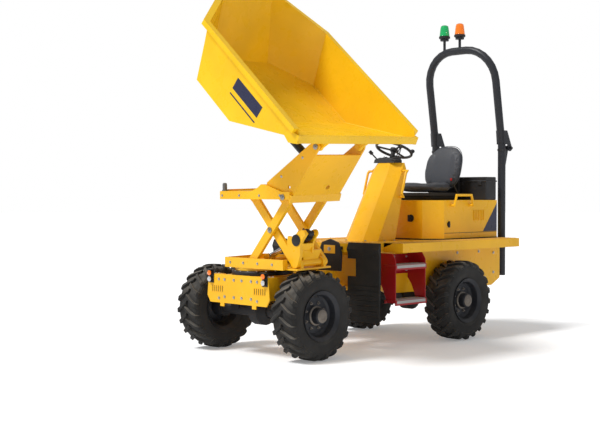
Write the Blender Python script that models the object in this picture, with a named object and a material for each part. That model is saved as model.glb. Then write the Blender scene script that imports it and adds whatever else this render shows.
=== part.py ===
"""Swivel high-tip site dumper: an articulated four-wheel carrier with its skip swivelled to the left, raised on
a scissor lift and tipped. Metres, +Z up, the machine drives towards -Y and its left side is +X."""

import math

import bmesh
import bpy
from mathutils import Matrix, Vector

for leftover in list(bpy.data.objects):
    bpy.data.objects.remove(leftover, do_unlink=True)

# ---------------------------------------------------------------- driving dimensions

FIT = 0.0003            # gap left between pieces that touch
PLATE = 0.012           # plate of the chassis, deck and covers
SHEET = 0.008           # plate of the skip

WHEEL_BASE = 2.00
TRACK = 1.22            # between the wheel centres of one axle
TYRE_RADIUS = 0.38
TYRE_WIDTH = 0.264
RIM_RADIUS = 0.200
AXLE_RADIUS = 0.060

JOINT_Y = -0.15         # the upright pin between the two chassis halves
JOINT_PIN = 0.020

REAR_HALF = 0.45        # half width over the rear side panels
REAR_END = 1.91
DECK_REAR = 1.925
DECK_HALF = 0.68
DECK_TOP = 0.950
DECK_DEPTH = 0.085
DECK_FRONT = 0.10

COVER_HALF = 0.45
COVER_FRONT = 0.84
COVER_REAR = 1.86
COVER_TOP = 1.335

CONSOLE_FOOT_Y = 0.20
CONSOLE_TOP = 1.70
STEERING_WHEEL = 0.19   # radius
STEERING_TILT = math.radians(24)

ROPS_HALF = 0.43
ROPS_TUBE = 0.040       # radius
ROPS_Y = 1.97
ROPS_FOLD_Z = 1.90
ROPS_RISE = 0.99        # from the fold up to the middle of the top tube
ROPS_LEAN = math.radians(9.2)
ROPS_BEND = 0.34

FRONT_Y = -1.29         # front face of the machine
FRONT_HALF = 0.38
FRONT_BOTTOM = 0.45
FRONT_TOP = 0.700

STEER_RAM = 0.026
STEER_RAM_Z = 0.735
STEER_RAM_FOOT = (-0.300, 0.000)    # on the rear chassis, in plan
STEER_RAM_EYE = (-0.150, -0.490)

SLEW_Y = -1.00
SLEW_RADIUS = 0.27
SLEW_TOP = 0.742
SLEW_RAKE = math.radians(1.5)   # the ring leans this much towards the front

BASE_IN = -0.22         # the lift's base, inboard and outboard ends
BASE_OUT = 0.51
BASE_HALF = 0.242
BASE_BOTTOM = 0.768
BASE_TOP = 0.855

LIFT_PIN_U = 0.585      # lower and upper fixed pins stand one above the other
LIFT_LOW = 0.823
LIFT_HIGH = 1.380
LIFT_RUN = 0.490        # from the fixed pins inboard to the rollers
ARM_WIDTH = 0.075
ARM_THICK = 0.032
ARM_OUTER = 0.220       # outer face of the outer arms
ARM_INNER = 0.180       # outer face of the inner arms
ROLLER = 0.040
PIN = 0.016
FOOT_TUBE = 0.030

HORN_PIN = (0.680, 1.073)
LIFT_RAM_FOOT = (0.200, 0.868)
LIFT_RAM_V = -0.089
LIFT_RAM = 0.050        # radius of the barrel

RAIL_OUTER = 0.300
RAIL_WIDTH = 0.055
RAIL_IN = -0.20
RAIL_OUT = 0.665
RAIL_BOTTOM = 1.362
RAIL_TOP = 1.424
TOWER_HALF = 0.277

TIP_PIVOT = (0.955, 1.785)
TIP_REST = math.radians(42.2)   # how far the skip is tipped from level
TIP_RAM_FOOT = (0.715, 1.560)
TIP_RAM_EYE = (-0.831, -0.356)  # on the level skip, from its pivot
TIP_RAM_V = 0.045
TIP_RAM = 0.034

SKIP_HALF = 0.692
SKIP_LIP = (0.130, 0.214)       # lip's top edge on the level skip, from its pivot
LIP_DROP = 0.026        # from the lip's top edge down to the pour plate
SKIP_RIDGE = (-0.700, -0.432)   # the rest is measured from the lip's top edge
SKIP_FLOOR_CORNER = -1.235
SKIP_RIM_CORNER = -1.420
SKIP_BACK_FLOOR = (-1.550, 0.335)
SKIP_BACK_RIM = (-1.810, 0.285)
SKIP_RIM_HEIGHT = 0.030
SKIP_BACK_HEIGHT = 0.137
RIM_RAIL = 0.045


# ---------------------------------------------------------------- shapes

def finished(shape):
    bmesh.ops.recalc_face_normals(shape, faces=shape.faces)
    return shape


def slab(axis, outline, low, high):
    """A flat outline pushed along one axis: the outline is (y, z), (x, z) or (x, y) for x, y or z."""
    shape = bmesh.new()
    spots = {"x": lambda p, d: (d, p[0], p[1]), "y": lambda p, d: (p[0], d, p[1]), "z": lambda p, d: (*p, d)}
    spot = spots[axis]
    rings = [[shape.verts.new(spot(p, d)) for p in outline] for d in (low, high)]
    shape.faces.new(rings[0])
    shape.faces.new(rings[1])
    for i in range(len(outline)):
        j = (i + 1) % len(outline)
        shape.faces.new((rings[0][i], rings[0][j], rings[1][j], rings[1][i]))
    return finished(shape)


def box(x, y, z):
    return slab("z", [(x[0], y[0]), (x[1], y[0]), (x[1], y[1]), (x[0], y[1])], z[0], z[1])


def arc(centre, radius, start, end, steps):
    turns = [math.radians(start + (end - start) * i / steps) for i in range(steps + 1)]
    return [(centre[0] + radius * math.cos(t), centre[1] + radius * math.sin(t)) for t in turns]


def rod(start, end, radius, sides=20):
    return tube([start, end], radius, sides)


def bore(start, end, pin_radius, sides=20, play=FIT):
    """A cutter whose flats stay clear of a pin of the same number of sides or more."""
    return tube([start, end], (pin_radius + play) / math.cos(math.pi / sides), sides)


def tube(path, radius, sides=14):
    """A round bar along a path, with the joints between its straight lengths mitred."""
    shape = bmesh.new()
    path = [Vector(p) for p in path]
    along = [(b - a).normalized() for a, b in zip(path, path[1:])]
    side = along[0].orthogonal().normalized()
    rings = []
    for i, spot in enumerate(path):
        before, after = along[max(i - 1, 0)], along[min(i, len(along) - 1)]
        if i > 0:
            side = (side - side.dot(after) * after).normalized()
        up = after.cross(side)
        mitre = (before + after).normalized()
        ring = []
        for k in range(sides):
            turn = 2 * math.pi * k / sides
            spoke = radius * (math.cos(turn) * side + math.sin(turn) * up)
            spoke -= after * (spoke.dot(mitre) / after.dot(mitre))
            ring.append(shape.verts.new(spot + spoke))
        rings.append(ring)
    shape.faces.new(rings[0])
    shape.faces.new(rings[-1])
    for low, high in zip(rings, rings[1:]):
        for k in range(sides):
            n = (k + 1) % sides
            shape.faces.new((low[k], low[n], high[n], high[k]))
    return finished(shape)


def turned(profile, centre, axis, sides=32):
    """A closed outline of (radius, distance along the axis) turned round an axis through the centre."""
    shape = bmesh.new()
    turn_to = Vector((0, 0, 1)).rotation_difference(Vector(axis)).to_matrix()
    loops = []
    for radius, along in profile:
        if radius < 1e-6:
            loops.append([shape.verts.new(turn_to @ Vector((0, 0, along)) + Vector(centre))])
            continue
        loop = []
        for k in range(sides):
            turn = 2 * math.pi * k / sides
            spot = Vector((radius * math.cos(turn), radius * math.sin(turn), along))
            loop.append(shape.verts.new(turn_to @ spot + Vector(centre)))
        loops.append(loop)
    for low, high in zip(loops, loops[1:] + loops[:1]):
        for k in range(sides):
            n = (k + 1) % sides
            corners = [low[k % len(low)], low[n % len(low)], high[n % len(high)], high[k % len(high)]]
            corners = list(dict.fromkeys(corners))
            if len(corners) > 2:
                shape.faces.new(corners)
    return finished(shape)


def bar(start, end, width, low, high, ends=8):
    """A flat link with round ends in the x-z plane, from y = low to high."""
    heading = math.degrees(math.atan2(end[1] - start[1], end[0] - start[0]))
    outline = arc(end, width / 2, heading - 90, heading + 90, ends)
    outline += arc(start, width / 2, heading + 90, heading + 270, ends)
    return slab("y", outline, low, high)


def moved(shape, matrix):
    bmesh.ops.transform(shape, matrix=matrix, verts=shape.verts)
    return finished(shape)


def mirrored(make, *args):
    """The same shape at the left and at the right of the x axis."""
    return [make(side, *args) for side in (-1, 1)]


# ---------------------------------------------------------------- bodies and pieces

class Body:
    """Pieces that move together. They are drawn in one frame and hang on an empty that stands on their axis."""

    def __init__(self, name, frame=Matrix(), pivot=(0, 0, 0), carrier=None):
        self.pivot = Vector(pivot)
        self.frame = frame
        self.world = frame @ Matrix.Translation(self.pivot)
        self.empty = bpy.data.objects.new(name, None)
        self.empty.empty_display_size = 0.1
        bpy.context.scene.collection.objects.link(self.empty)
        self.empty.parent = carrier.empty if carrier else None
        self.empty.matrix_local = (carrier.world.inverted() @ self.world) if carrier else self.world


def material(name, colour, roughness, metallic=0.0):
    made = bpy.data.materials.new(name)
    made.use_nodes = True
    shader = made.node_tree.nodes["Principled BSDF"]
    shader.inputs["Base Color"].default_value = (*colour, 1)
    shader.inputs["Roughness"].default_value = roughness
    shader.inputs["Metallic"].default_value = metallic
    made.diffuse_color = (*colour, 1)
    return made


def solid(name, body, shape):
    mesh = bpy.data.meshes.new(name)
    bmesh.ops.translate(shape, vec=-body.pivot, verts=shape.verts)
    shape.to_mesh(mesh)
    shape.free()
    made = bpy.data.objects.new(name, mesh)
    bpy.context.scene.collection.objects.link(made)
    made.parent = body.empty
    return made


def piece(name, body, look, joined, cut=(), smooth=False, wall=0.0):
    """One named piece: the first shape with the others welded on, and the cuts taken out of the result."""
    made = solid(name, body, joined[0])
    made.data.materials.append(look)
    if smooth:
        made.data.shade_smooth()
    if wall:
        skin = made.modifiers.new("wall", "SOLIDIFY")
        skin.thickness = wall
        skin.offset = -1
        skin.use_even_offset = True
    for kind, shapes in (("UNION", joined[1:]), ("DIFFERENCE", cut)):
        for i, shape in enumerate(shapes):
            helper = solid(f"{name}_{kind.lower()}_{i}", body, shape)
            helper.hide_render = True
            helper.display_type = "WIRE"
            join = made.modifiers.new(helper.name, "BOOLEAN")
            join.operation = kind
            join.solver = "EXACT"
            join.object = helper
    return made


YELLOW = material("machine_yellow", (0.80, 0.42, 0.02), 0.38)
DARK = material("chassis_black", (0.030, 0.030, 0.035), 0.55)
RUBBER = material("tyre_rubber", (0.035, 0.035, 0.037), 0.85)
RIM = material("rim_grey", (0.045, 0.050, 0.060), 0.5, 0.3)
RED = material("step_red", (0.30, 0.008, 0.020), 0.4)
CHARCOAL = material("rops_charcoal", (0.050, 0.053, 0.060), 0.45)
VINYL = material("seat_vinyl", (0.060, 0.065, 0.075), 0.6)
PLASTIC = material("black_plastic", (0.020, 0.020, 0.022), 0.5)
STEEL = material("rod_chrome", (0.60, 0.60, 0.62), 0.18, 1.0)
CAST = material("axle_paint", (0.040, 0.040, 0.042), 0.6, 0.4)
GREEN = material("lens_green", (0.02, 0.50, 0.20), 0.15)
AMBER = material("lens_amber", (0.85, 0.25, 0.02), 0.15)

machine = Body("machine")

# ---------------------------------------------------------------- rear chassis

# Two side panels, tied by a bulkhead, a tail plate and trays, carry everything behind the pin.
panel = [
    (-0.20, DECK_TOP - DECK_DEPTH - FIT), (-0.20, 0.78), (-0.02, 0.55), (0.14, 0.48), (1.77, 0.47),
    (REAR_END, 0.54), (REAR_END, DECK_TOP - DECK_DEPTH - FIT),
]
BULKHEAD_Y = 0.06
LUGS = ((0.500, 0.535), (0.825, 0.860))     # the clevis plates of the chassis joint
inner = REAR_HALF - PLATE
chassis = mirrored(lambda s: slab("x", panel, *sorted((s * REAR_HALF, s * inner))))
chassis += [
    box((-inner - 0.004, inner + 0.004), (BULKHEAD_Y, BULKHEAD_Y + PLATE), (0.52, DECK_TOP - DECK_DEPTH - FIT)),
    box((-inner - 0.004, inner + 0.004), (REAR_END - PLATE - 0.004, REAR_END - 0.004), (0.545, 0.86)),
    box((-inner - 0.004, inner + 0.004), (0.86, 1.14), (0.474, 0.490)),
    box((-inner - 0.004, inner + 0.004), (1.60, 1.74), (0.474, 0.490)),
]
for low, high in LUGS:
    outline = [(-0.09, BULKHEAD_Y + 0.006), *arc((0, JOINT_Y), 0.062, 180, 360, 12), (0.09, BULKHEAD_Y + 0.006)]
    chassis.append(slab("z", outline, low, high))
chassis.append(rod((0, JOINT_Y, LUGS[0][0] - 0.012), (0, JOINT_Y, LUGS[1][1] + 0.012), JOINT_PIN))
sx, sy = STEER_RAM_FOOT
for side in (-1, 1):
    z = STEER_RAM_Z + side * (STEER_RAM + 0.012)
    chassis.append(box((sx - 0.03, sx + 0.03), (sy - 0.03, BULKHEAD_Y + 0.006), (z - 0.005, z + 0.005)))
chassis.append(rod((sx, sy, STEER_RAM_Z - 0.045), (sx, sy, STEER_RAM_Z + 0.045), PIN * 0.75, 14))
gearbox_hole = box((-0.14, 0.14), (0.85, 1.15), (0.46, 0.50))
piece("rear_chassis", machine, YELLOW, chassis, [gearbox_hole])

# The deck is a folded plate over the panels; it is open under the engine cover.
deck_low = DECK_TOP - DECK_DEPTH
deck = [box((-DECK_HALF, DECK_HALF), (DECK_FRONT, DECK_REAR), (DECK_TOP - PLATE, DECK_TOP))]
deck += mirrored(
    lambda s: box(sorted((s * DECK_HALF, s * (DECK_HALF - PLATE))), (DECK_FRONT, DECK_REAR), (deck_low, DECK_TOP))
)
deck += [
    box((-DECK_HALF, DECK_HALF), (DECK_FRONT, DECK_FRONT + PLATE), (deck_low, DECK_TOP)),
    box((-DECK_HALF, DECK_HALF), (DECK_REAR - PLATE, DECK_REAR), (deck_low, DECK_TOP)),
    box((-REAR_HALF, -inner), (-0.20, REAR_END), (deck_low, DECK_TOP - 0.002)),
    box((inner, REAR_HALF), (-0.20, REAR_END), (deck_low, DECK_TOP - 0.002)),
    box((-REAR_HALF, REAR_HALF), (-0.20, DECK_FRONT + 0.02), (DECK_TOP - PLATE - 0.002, DECK_TOP - 0.002)),
    box((-REAR_HALF, REAR_HALF), (-0.20, -0.20 + PLATE), (deck_low, DECK_TOP - 0.002)),
]
hood_hole = box((-0.32, 0.32), (1.02, 1.78), (deck_low - 0.02, DECK_TOP + 0.02))
piece("deck", machine, YELLOW, deck, [hood_hole])


def axle(name, body, y, saddle, look=CAST):
    """A drive axle: trumpets out to the hubs, a round casing in the middle and two saddles up to the frame."""
    end = TRACK / 2 - 0.100
    casing = [(0, -0.11), (0.07, -0.11), (0.13, -0.05), (0.13, 0.05), (0.07, 0.11), (0, 0.11)]
    shapes = [rod((-end, y, TYRE_RADIUS), (end, y, TYRE_RADIUS), AXLE_RADIUS)]
    shapes.append(turned(casing, (0, y, TYRE_RADIUS), (1, 0, 0), 20))
    for side in (-1, 1):
        shapes.append(rod((side * (end - 0.03), y, TYRE_RADIUS), (side * end, y, TYRE_RADIUS), 0.085))
        spot = side * 0.285
        shapes.append(box((spot - 0.05, spot + 0.05), (y - 0.07, y + 0.07), (TYRE_RADIUS, saddle - FIT)))
    nose = 0.16 if y > 0 else -0.16
    shapes.append(rod((0, y, TYRE_RADIUS), (0, y - nose, TYRE_RADIUS), 0.05))
    piece(name, body, look, shapes)


axle("rear_axle", machine, WHEEL_BASE / 2, 0.474)

ENGINE = ((-0.25, 0.25), (1.08, 1.70), (0.490 + FIT, 1.15))
piece("engine_block", machine, CAST, [box(*ENGINE)])


# ---------------------------------------------------------------- engine cover, seat and cowl

def cover_outline(half, front, rear, chamfer):
    return [
        (-half, rear), (-half, front + chamfer), (-half + chamfer, front), (half - chamfer, front),
        (half, front + chamfer), (half, rear),
    ]


cover = [slab("z", cover_outline(COVER_HALF, COVER_FRONT, COVER_REAR, 0.15), DECK_TOP + FIT, COVER_TOP)]
for side in (-1, 1):
    x = side * (COVER_HALF + 0.045)
    path = [
        (side * (COVER_HALF - 0.005), 1.10, COVER_TOP - 0.05), (x, 1.10, COVER_TOP - 0.05),
        (x, 1.13, COVER_TOP + 0.05), (x, 1.37, COVER_TOP + 0.05), (x, 1.40, COVER_TOP - 0.05),
        (side * (COVER_HALF - 0.005), 1.40, COVER_TOP - 0.05),
    ]
    cover.append(tube(path, 0.012, 10))
hollow = slab(
    "z", cover_outline(COVER_HALF - PLATE, COVER_FRONT + PLATE, COVER_REAR - PLATE, 0.15), 0.90, COVER_TOP - PLATE
)
piece("engine_cover", machine, YELLOW, cover, [hollow])

SEAT_FRONT, SEAT_REAR = 1.04, 1.52
SEAT_LOW = COVER_TOP + 0.075
piece("seat_base", machine, PLASTIC, [
    box((-0.20, 0.20), (SEAT_FRONT + 0.05, SEAT_REAR - 0.03), (COVER_TOP + FIT, COVER_TOP + 0.05)),
    box((-0.22, 0.22), (SEAT_FRONT + 0.02, SEAT_REAR), (COVER_TOP + 0.045, SEAT_LOW - FIT)),
    box((-0.16, 0.16), (SEAT_REAR - 0.04, SEAT_REAR + 0.10), (COVER_TOP + 0.045, COVER_TOP + 0.075)),
    box((-0.16, 0.16), (SEAT_REAR + 0.075, SEAT_REAR + 0.10), (COVER_TOP + 0.05, COVER_TOP + 0.30)),
])
cushion = [
    (SEAT_FRONT, SEAT_LOW + 0.03), (SEAT_FRONT + 0.03, SEAT_LOW), (SEAT_REAR - 0.05, SEAT_LOW),
    (SEAT_REAR - 0.045, SEAT_LOW + 0.075), (SEAT_FRONT + 0.08, SEAT_LOW + 0.115), (SEAT_FRONT + 0.02, SEAT_LOW + 0.10),
]
piece("seat_cushion", machine, VINYL, [slab("x", cushion, -0.245, 0.245)])
back = [
    (SEAT_REAR - 0.035, SEAT_LOW + 0.02), (SEAT_REAR + 0.075 - FIT, SEAT_LOW + 0.02),
    (SEAT_REAR + 0.075 - FIT, SEAT_LOW + 0.25), (SEAT_REAR + 0.13, SEAT_LOW + 0.46),
    (SEAT_REAR + 0.09, SEAT_LOW + 0.50), (SEAT_REAR + 0.045, SEAT_LOW + 0.48), (SEAT_REAR - 0.03, SEAT_LOW + 0.20),
]
piece("seat_backrest", machine, VINYL, [slab("x", back, -0.235, 0.235)])
piece("tool_box", machine, PLASTIC, [
    box((-0.30, 0.45), (1.67, 1.85), (COVER_TOP + FIT, COVER_TOP + 0.235)),
])

# ---------------------------------------------------------------- steering console

# A folded sheet-metal column leans back towards the seat, with a tube grab handle on each side.
foot_z = DECK_TOP + FIT
section = [  # (half width in front, y in front, half width behind, y behind, height)
    (0.10, CONSOLE_FOOT_Y, 0.21, CONSOLE_FOOT_Y + 0.34, foot_z),
    (0.09, CONSOLE_FOOT_Y + 0.39, 0.19, CONSOLE_FOOT_Y + 0.53, CONSOLE_TOP - 0.06),
    (0.07, CONSOLE_FOOT_Y + 0.42, 0.16, CONSOLE_FOOT_Y + 0.54, CONSOLE_TOP),
]


def column(inset, floor, roof):
    shape = bmesh.new()
    loops = []
    for front, y0, rear, y1, z in section[: 3 if roof else 2]:
        front, rear, y0, y1 = front - inset * 0.6, rear - inset, y0 + inset, y1 - inset
        loops.append([
            shape.verts.new(p)
            for p in ((-front, y0, z), (front, y0, z), (rear, y0 + 0.09, z), (rear, y1, z), (-rear, y1, z), (-rear, y0 + 0.09, z))
        ])
    if inset:
        for spot in loops[0]:
            spot.co.z = floor
    shape.faces.new(loops[0])
    shape.faces.new(loops[-1])
    for low, high in zip(loops, loops[1:]):
        for k in range(6):
            n = (k + 1) % 6
            shape.faces.new((low[k], low[n], high[n], high[k]))
    return finished(shape)


console = [column(0.0, 0, True)]
for side in (-1, 1):
    x = side * 0.245
    root_x = side * 0.165
    path = [
        (root_x, 0.63, 1.37), (x, 0.62, 1.37), (x, 0.60, 1.40), (x, 0.66, 1.60), (x, 0.68, 1.62), (root_x, 0.68, 1.62),
    ]
    console.append(tube(path, 0.012, 10))
piece("console", machine, YELLOW, console, [column(PLATE, DECK_TOP - 0.05, False)])

# The panel and the column of the steering wheel stand on top of the console.
WHEEL_HUB = Vector((0.0, CONSOLE_FOOT_Y + 0.57, CONSOLE_TOP + 0.130))
STEER_AXIS = Vector((0, math.sin(STEERING_TILT), math.cos(STEERING_TILT)))
shaft_foot = WHEEL_HUB - STEER_AXIS * 0.100
piece("instrument_panel", machine, PLASTIC, [
    slab("x", [(0.615, CONSOLE_TOP + FIT), (0.735, CONSOLE_TOP + FIT), (0.735, 1.725), (0.70, 1.755), (0.63, 1.735)], -0.13, 0.13),
    rod(WHEEL_HUB - STEER_AXIS * 0.105, WHEEL_HUB - STEER_AXIS * 0.020, 0.022),
    rod((-0.10, 0.655, 1.72), (-0.15, 0.60, 1.80), 0.007, 10),
    rod((-0.142, 0.609, 1.788), (-0.16, 0.589, 1.818), 0.017, 12),
])

steering = Body("steering_wheel_axis", Matrix(), WHEEL_HUB, machine)
wheel_ring = []
for k in range(25):
    turn = 2 * math.pi * (k % 24) / 24
    wheel_ring.append((math.cos(turn), math.sin(turn)))
tilt = Matrix.Translation(WHEEL_HUB) @ Matrix.Rotation(-STEERING_TILT, 4, "X")
grip = arc((STEERING_WHEEL - 0.013, 0), 0.013, 0, 315, 7)
wheel = [moved(turned(grip, (0, 0, 0), (0, 0, 1), 32), tilt)]
wheel.append(moved(turned([(0, -0.019), (0.035, -0.019), (0.030, 0.020), (0, 0.022)], (0, 0, 0), (0, 0, 1), 20), tilt))
for turn in (90, 210, 330):
    reach = STEERING_WHEEL - 0.013
    tip = (reach * math.cos(math.radians(turn)), reach * math.sin(math.radians(turn)), 0)
    wheel.append(moved(rod((0, 0, -0.004), tip, 0.008, 10), tilt))
piece("steering_wheel", steering, PLASTIC, wheel)

# ---------------------------------------------------------------- steps and mud flaps

for name, side in (("left", 1), ("right", -1)):
    def across(near, far, side=side):
        return tuple(sorted((side * near, side * far)))

    hanger = [(REAR_HALF + FIT, 0.62), (REAR_HALF + FIT, 0.86), (0.62, 0.86), (0.66, 0.80), (0.66, 0.41), (0.56, 0.41), (0.50, 0.55)]
    hanger = [(side * x, z) for x, z in hanger]
    step = [slab("y", hanger, 0.02, 0.03), slab("y", hanger, 0.44, 0.45)]
    for height in (0.745, 0.425):
        step.append(box(across(0.53, 0.665), (0.015, 0.455), (height, height + 0.012)))
        step.append(box(across(0.655, 0.667), (0.015, 0.455), (height - 0.035, height + 0.012)))
        step.append(box(across(0.53, 0.542), (0.015, 0.455), (height - 0.020, height + 0.012)))
    step.append(box(across(REAR_HALF + FIT, REAR_HALF + 0.010), (0.02, 0.45), (0.66, 0.84)))
    piece(f"step_{name}", machine, RED, step)

    flap = [(-0.200, 0.96), (-0.215, 0.96), (-0.240, 0.90), (-0.225, 0.86), (-0.225, 0.25), (-0.215, 0.25), (-0.2003, 0.60), (-0.2003, 0.85)]
    ram_notch = box(across(0.29, 0.40), (-0.26, -0.18), (0.655, 0.815))
    piece(f"mud_flap_{name}", machine, PLASTIC, [slab("x", flap, *across(0.30, 0.68))], [ram_notch])

# ---------------------------------------------------------------- roll-over frame

# Fixed posts on the tail, and a hoop that folds back about a pin behind them.
FOLD = (ROPS_Y + 0.082, ROPS_FOLD_Z - 0.03)
posts = [box((-ROPS_HALF, ROPS_HALF), (ROPS_Y - 0.02, ROPS_Y + 0.02), (0.66, 0.74))]
for side in (-1, 1):
    x = side * ROPS_HALF
    posts.append(rod((x, ROPS_Y, 0.56), (x, ROPS_Y, ROPS_FOLD_Z), ROPS_TUBE))
    posts.append(box((x - 0.035, x + 0.015), (REAR_END + FIT, ROPS_Y), (0.62, 0.84)))
    ear = [(ROPS_Y, 1.62), (ROPS_Y, 1.86), *arc(FOLD, 0.028, 110, -60, 6), (ROPS_Y + 0.055, 1.70)]
    posts.append(slab("x", ear, x - 0.012, x + 0.012))
    posts.append(rod((x - 0.062, *FOLD), (x + 0.062, *FOLD), 0.010, 14))
piece("rops_base", machine, CHARCOAL, posts)

rops = Body("rops_fold_axis", Matrix(), (0, *FOLD), machine)
lean = Matrix.Translation((0, ROPS_Y, ROPS_FOLD_Z)) @ Matrix.Rotation(ROPS_LEAN, 4, "X")
knee = ROPS_RISE / math.cos(ROPS_LEAN)
run = [(-ROPS_HALF, 0, 0.030)]
run += [(x, 0, z) for x, z in arc((-ROPS_HALF + ROPS_BEND, knee - ROPS_BEND), ROPS_BEND, 180, 90, 7)]
run += [(x, 0, z) for x, z in arc((ROPS_HALF - ROPS_BEND, knee - ROPS_BEND), ROPS_BEND, 90, 0, 7)]
run.append((ROPS_HALF, 0, 0.030))
hoop = [moved(tube(run, ROPS_TUBE, 14), lean)]
BEACONS = (("beacon_green", -0.19, GREEN), ("beacon_amber", 0.01, AMBER))
top_y = ROPS_Y - math.sin(ROPS_LEAN) * knee
top_z = ROPS_FOLD_Z + math.cos(ROPS_LEAN) * knee
for side in (-1, 1):
    x = side * ROPS_HALF
    hoop.append(rod((x, ROPS_Y, ROPS_FOLD_Z + FIT * 4), (x, ROPS_Y, ROPS_FOLD_Z + 0.05), ROPS_TUBE))
    for offset in (-0.048, 0.036):
        cheek = [
            (ROPS_Y - 0.020, 1.907), (ROPS_Y - 0.035, 2.05), (ROPS_Y + 0.03, 2.05), *arc(FOLD, 0.032, 30, -170, 8),
            (ROPS_Y + 0.045, 1.907),
        ]
        hoop.append(slab("x", cheek, x + offset, x + offset + 0.012))
for _, x, _ in BEACONS:
    hoop.append(rod((x, top_y, top_z), (x, top_y, top_z + 0.125), 0.014, 12))
    hoop.append(rod((x, top_y, top_z + 0.120), (x, top_y, top_z + 0.140), 0.045, 16))
bores = [bore((side * ROPS_HALF - 0.07, *FOLD), (side * ROPS_HALF + 0.07, *FOLD), 0.010, 14) for side in (-1, 1)]
piece("rops_hoop", rops, CHARCOAL, hoop, bores)
for name, x, look in BEACONS:
    low = top_z + 0.140 + FIT
    lens = [(0, low), (0.058, low), (0.060, low + 0.03), (0.052, low + 0.11), (0.035, low + 0.14), (0, low + 0.15)]
    piece(name, rops, look, [turned(lens, (x, top_y, 0), (0, 0, 1), 20)], smooth=True)

# ---------------------------------------------------------------- front chassis

front = Body("chassis_joint_axis", Matrix(), (0, JOINT_Y, 0), machine)
rake = Matrix.Translation((0, SLEW_Y, SLEW_TOP)) @ Matrix.Rotation(SLEW_RAKE, 4, "X")
slew_frame = rake @ Matrix.Translation((0, 0, -SLEW_TOP))

KNUCKLE = (LUGS[0][1] + FIT, LUGS[1][0] - FIT)
plan = [
    (-0.30, FRONT_Y + 0.006), (0.30, FRONT_Y + 0.006), (0.30, -0.62), (0.085, -0.32), (0.085, JOINT_Y - 0.075),
    (-0.085, JOINT_Y - 0.075), (-0.085, -0.32), (-0.30, -0.62),
]
pocket = [(-0.28, FRONT_Y + 0.02), (0.28, FRONT_Y + 0.02), (0.28, -0.63), (0.10, -0.38), (-0.10, -0.38), (-0.28, -0.63)]
nose_plate = [
    (-FRONT_HALF - 0.02, FRONT_BOTTOM + 0.06), (-FRONT_HALF + 0.02, FRONT_BOTTOM), (FRONT_HALF - 0.02, FRONT_BOTTOM),
    (FRONT_HALF + 0.02, FRONT_BOTTOM + 0.06), (FRONT_HALF, FRONT_TOP), (-FRONT_HALF, FRONT_TOP),
]
hull = [slab("z", plan, 0.50, FRONT_TOP - 0.012)]
hull.append(slab("y", nose_plate, FRONT_Y, FRONT_Y + PLATE))
hull.append(rod((0, JOINT_Y, KNUCKLE[0]), (0, JOINT_Y, KNUCKLE[1]), 0.055))
hull.append(box((-0.084, 0.084), (-0.36, JOINT_Y - 0.045), (0.60, FRONT_TOP - 0.012)))
hull.append(moved(rod((0, 0, 0.66), (0, 0, 0.7017), SLEW_RADIUS + 0.01, 32), slew_frame))
for side in (-1, 1):
    flange = [
        (FRONT_Y + 0.004, FRONT_BOTTOM + 0.05), (FRONT_Y + 0.004, FRONT_TOP - 0.004), (FRONT_Y + 0.10, FRONT_TOP - 0.004),
        (FRONT_Y + 0.14, FRONT_TOP - 0.06), (FRONT_Y + 0.14, FRONT_BOTTOM + 0.05),
    ]
    hull.append(slab("x", flange, *sorted((side * FRONT_HALF, side * (FRONT_HALF - PLATE)))))
    hull.append(box(sorted((side * 0.29, side * FRONT_HALF)), (FRONT_Y + 0.004, FRONT_Y + 0.12), (FRONT_TOP - 0.024, FRONT_TOP - 0.004)))
    hull.append(box(sorted((side * 0.18, side * 0.23)), (FRONT_Y + 0.001, FRONT_Y + 0.011), (FRONT_BOTTOM - 0.03, FRONT_BOTTOM + 0.02)))
    ear_z = STEER_RAM_Z + side * (STEER_RAM * 0.5 + 0.009)
    ex, ey = STEER_RAM_EYE
    hull.append(box((ex - 0.028, ex + 0.028), (ey - 0.070, ey + 0.022), (ear_z - 0.004, ear_z + 0.004)))
hull.append(box((STEER_RAM_EYE[0] - 0.028, STEER_RAM_EYE[0] + 0.028), (STEER_RAM_EYE[1] - 0.070, STEER_RAM_EYE[1] - 0.050), (0.66, 0.761)))
hull_cut = [
    slab("z", pocket, 0.48, FRONT_TOP - 0.040),
    bore((0, JOINT_Y, 0.40), (0, JOINT_Y, 0.95), JOINT_PIN),
]
piece("front_chassis", front, YELLOW, hull, hull_cut)
axle("front_axle", front, -WHEEL_BASE / 2, 0.500)

ring = [(0.20, 0.7020), (SLEW_RADIUS, 0.7020), (SLEW_RADIUS, SLEW_TOP - 0.012), (SLEW_RADIUS - 0.012, SLEW_TOP), (0.20, SLEW_TOP)]
piece("slew_ring", front, DARK, [moved(turned(ring, (0, 0, 0), (0, 0, 1), 40), slew_frame)])

for name, side in (("left", 1), ("right", -1)):
    x = side * (FRONT_HALF - 0.035)
    face = FRONT_Y - FIT
    bracket = [box((x - 0.034, x + 0.034), (face - 0.006, face), (FRONT_TOP - 0.080, FRONT_TOP + 0.040))]
    bracket.append(box((x - 0.034, x + 0.034), (face - 0.030, face), (FRONT_TOP + 0.034, FRONT_TOP + 0.040)))
    for height in (-0.048, 0.006):
        bracket.append(rod((x, face, FRONT_TOP + height), (x, face - 0.026, FRONT_TOP + height), 0.023, 16))
    piece(f"lamp_{name}", front, DARK, bracket)

# A moulded guard over the hoses stands in front of the deck, clear above the neck of the front chassis.
guard_low = FRONT_TOP + 0.002
guard = [(0.02, guard_low), (0.30, guard_low), (0.31, 0.86), (0.27, 0.96), (0.17, 0.99), (0.07, 0.96), (0.02, 0.84)]
piece("hose_guard", machine, PLASTIC, [
    slab("y", guard, -0.325, -0.300),
    box((0.10, 0.22), (-0.302, -0.20 - FIT), (DECK_TOP - 0.060, DECK_TOP - 0.030)),
])

# ---------------------------------------------------------------- wheels

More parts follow.
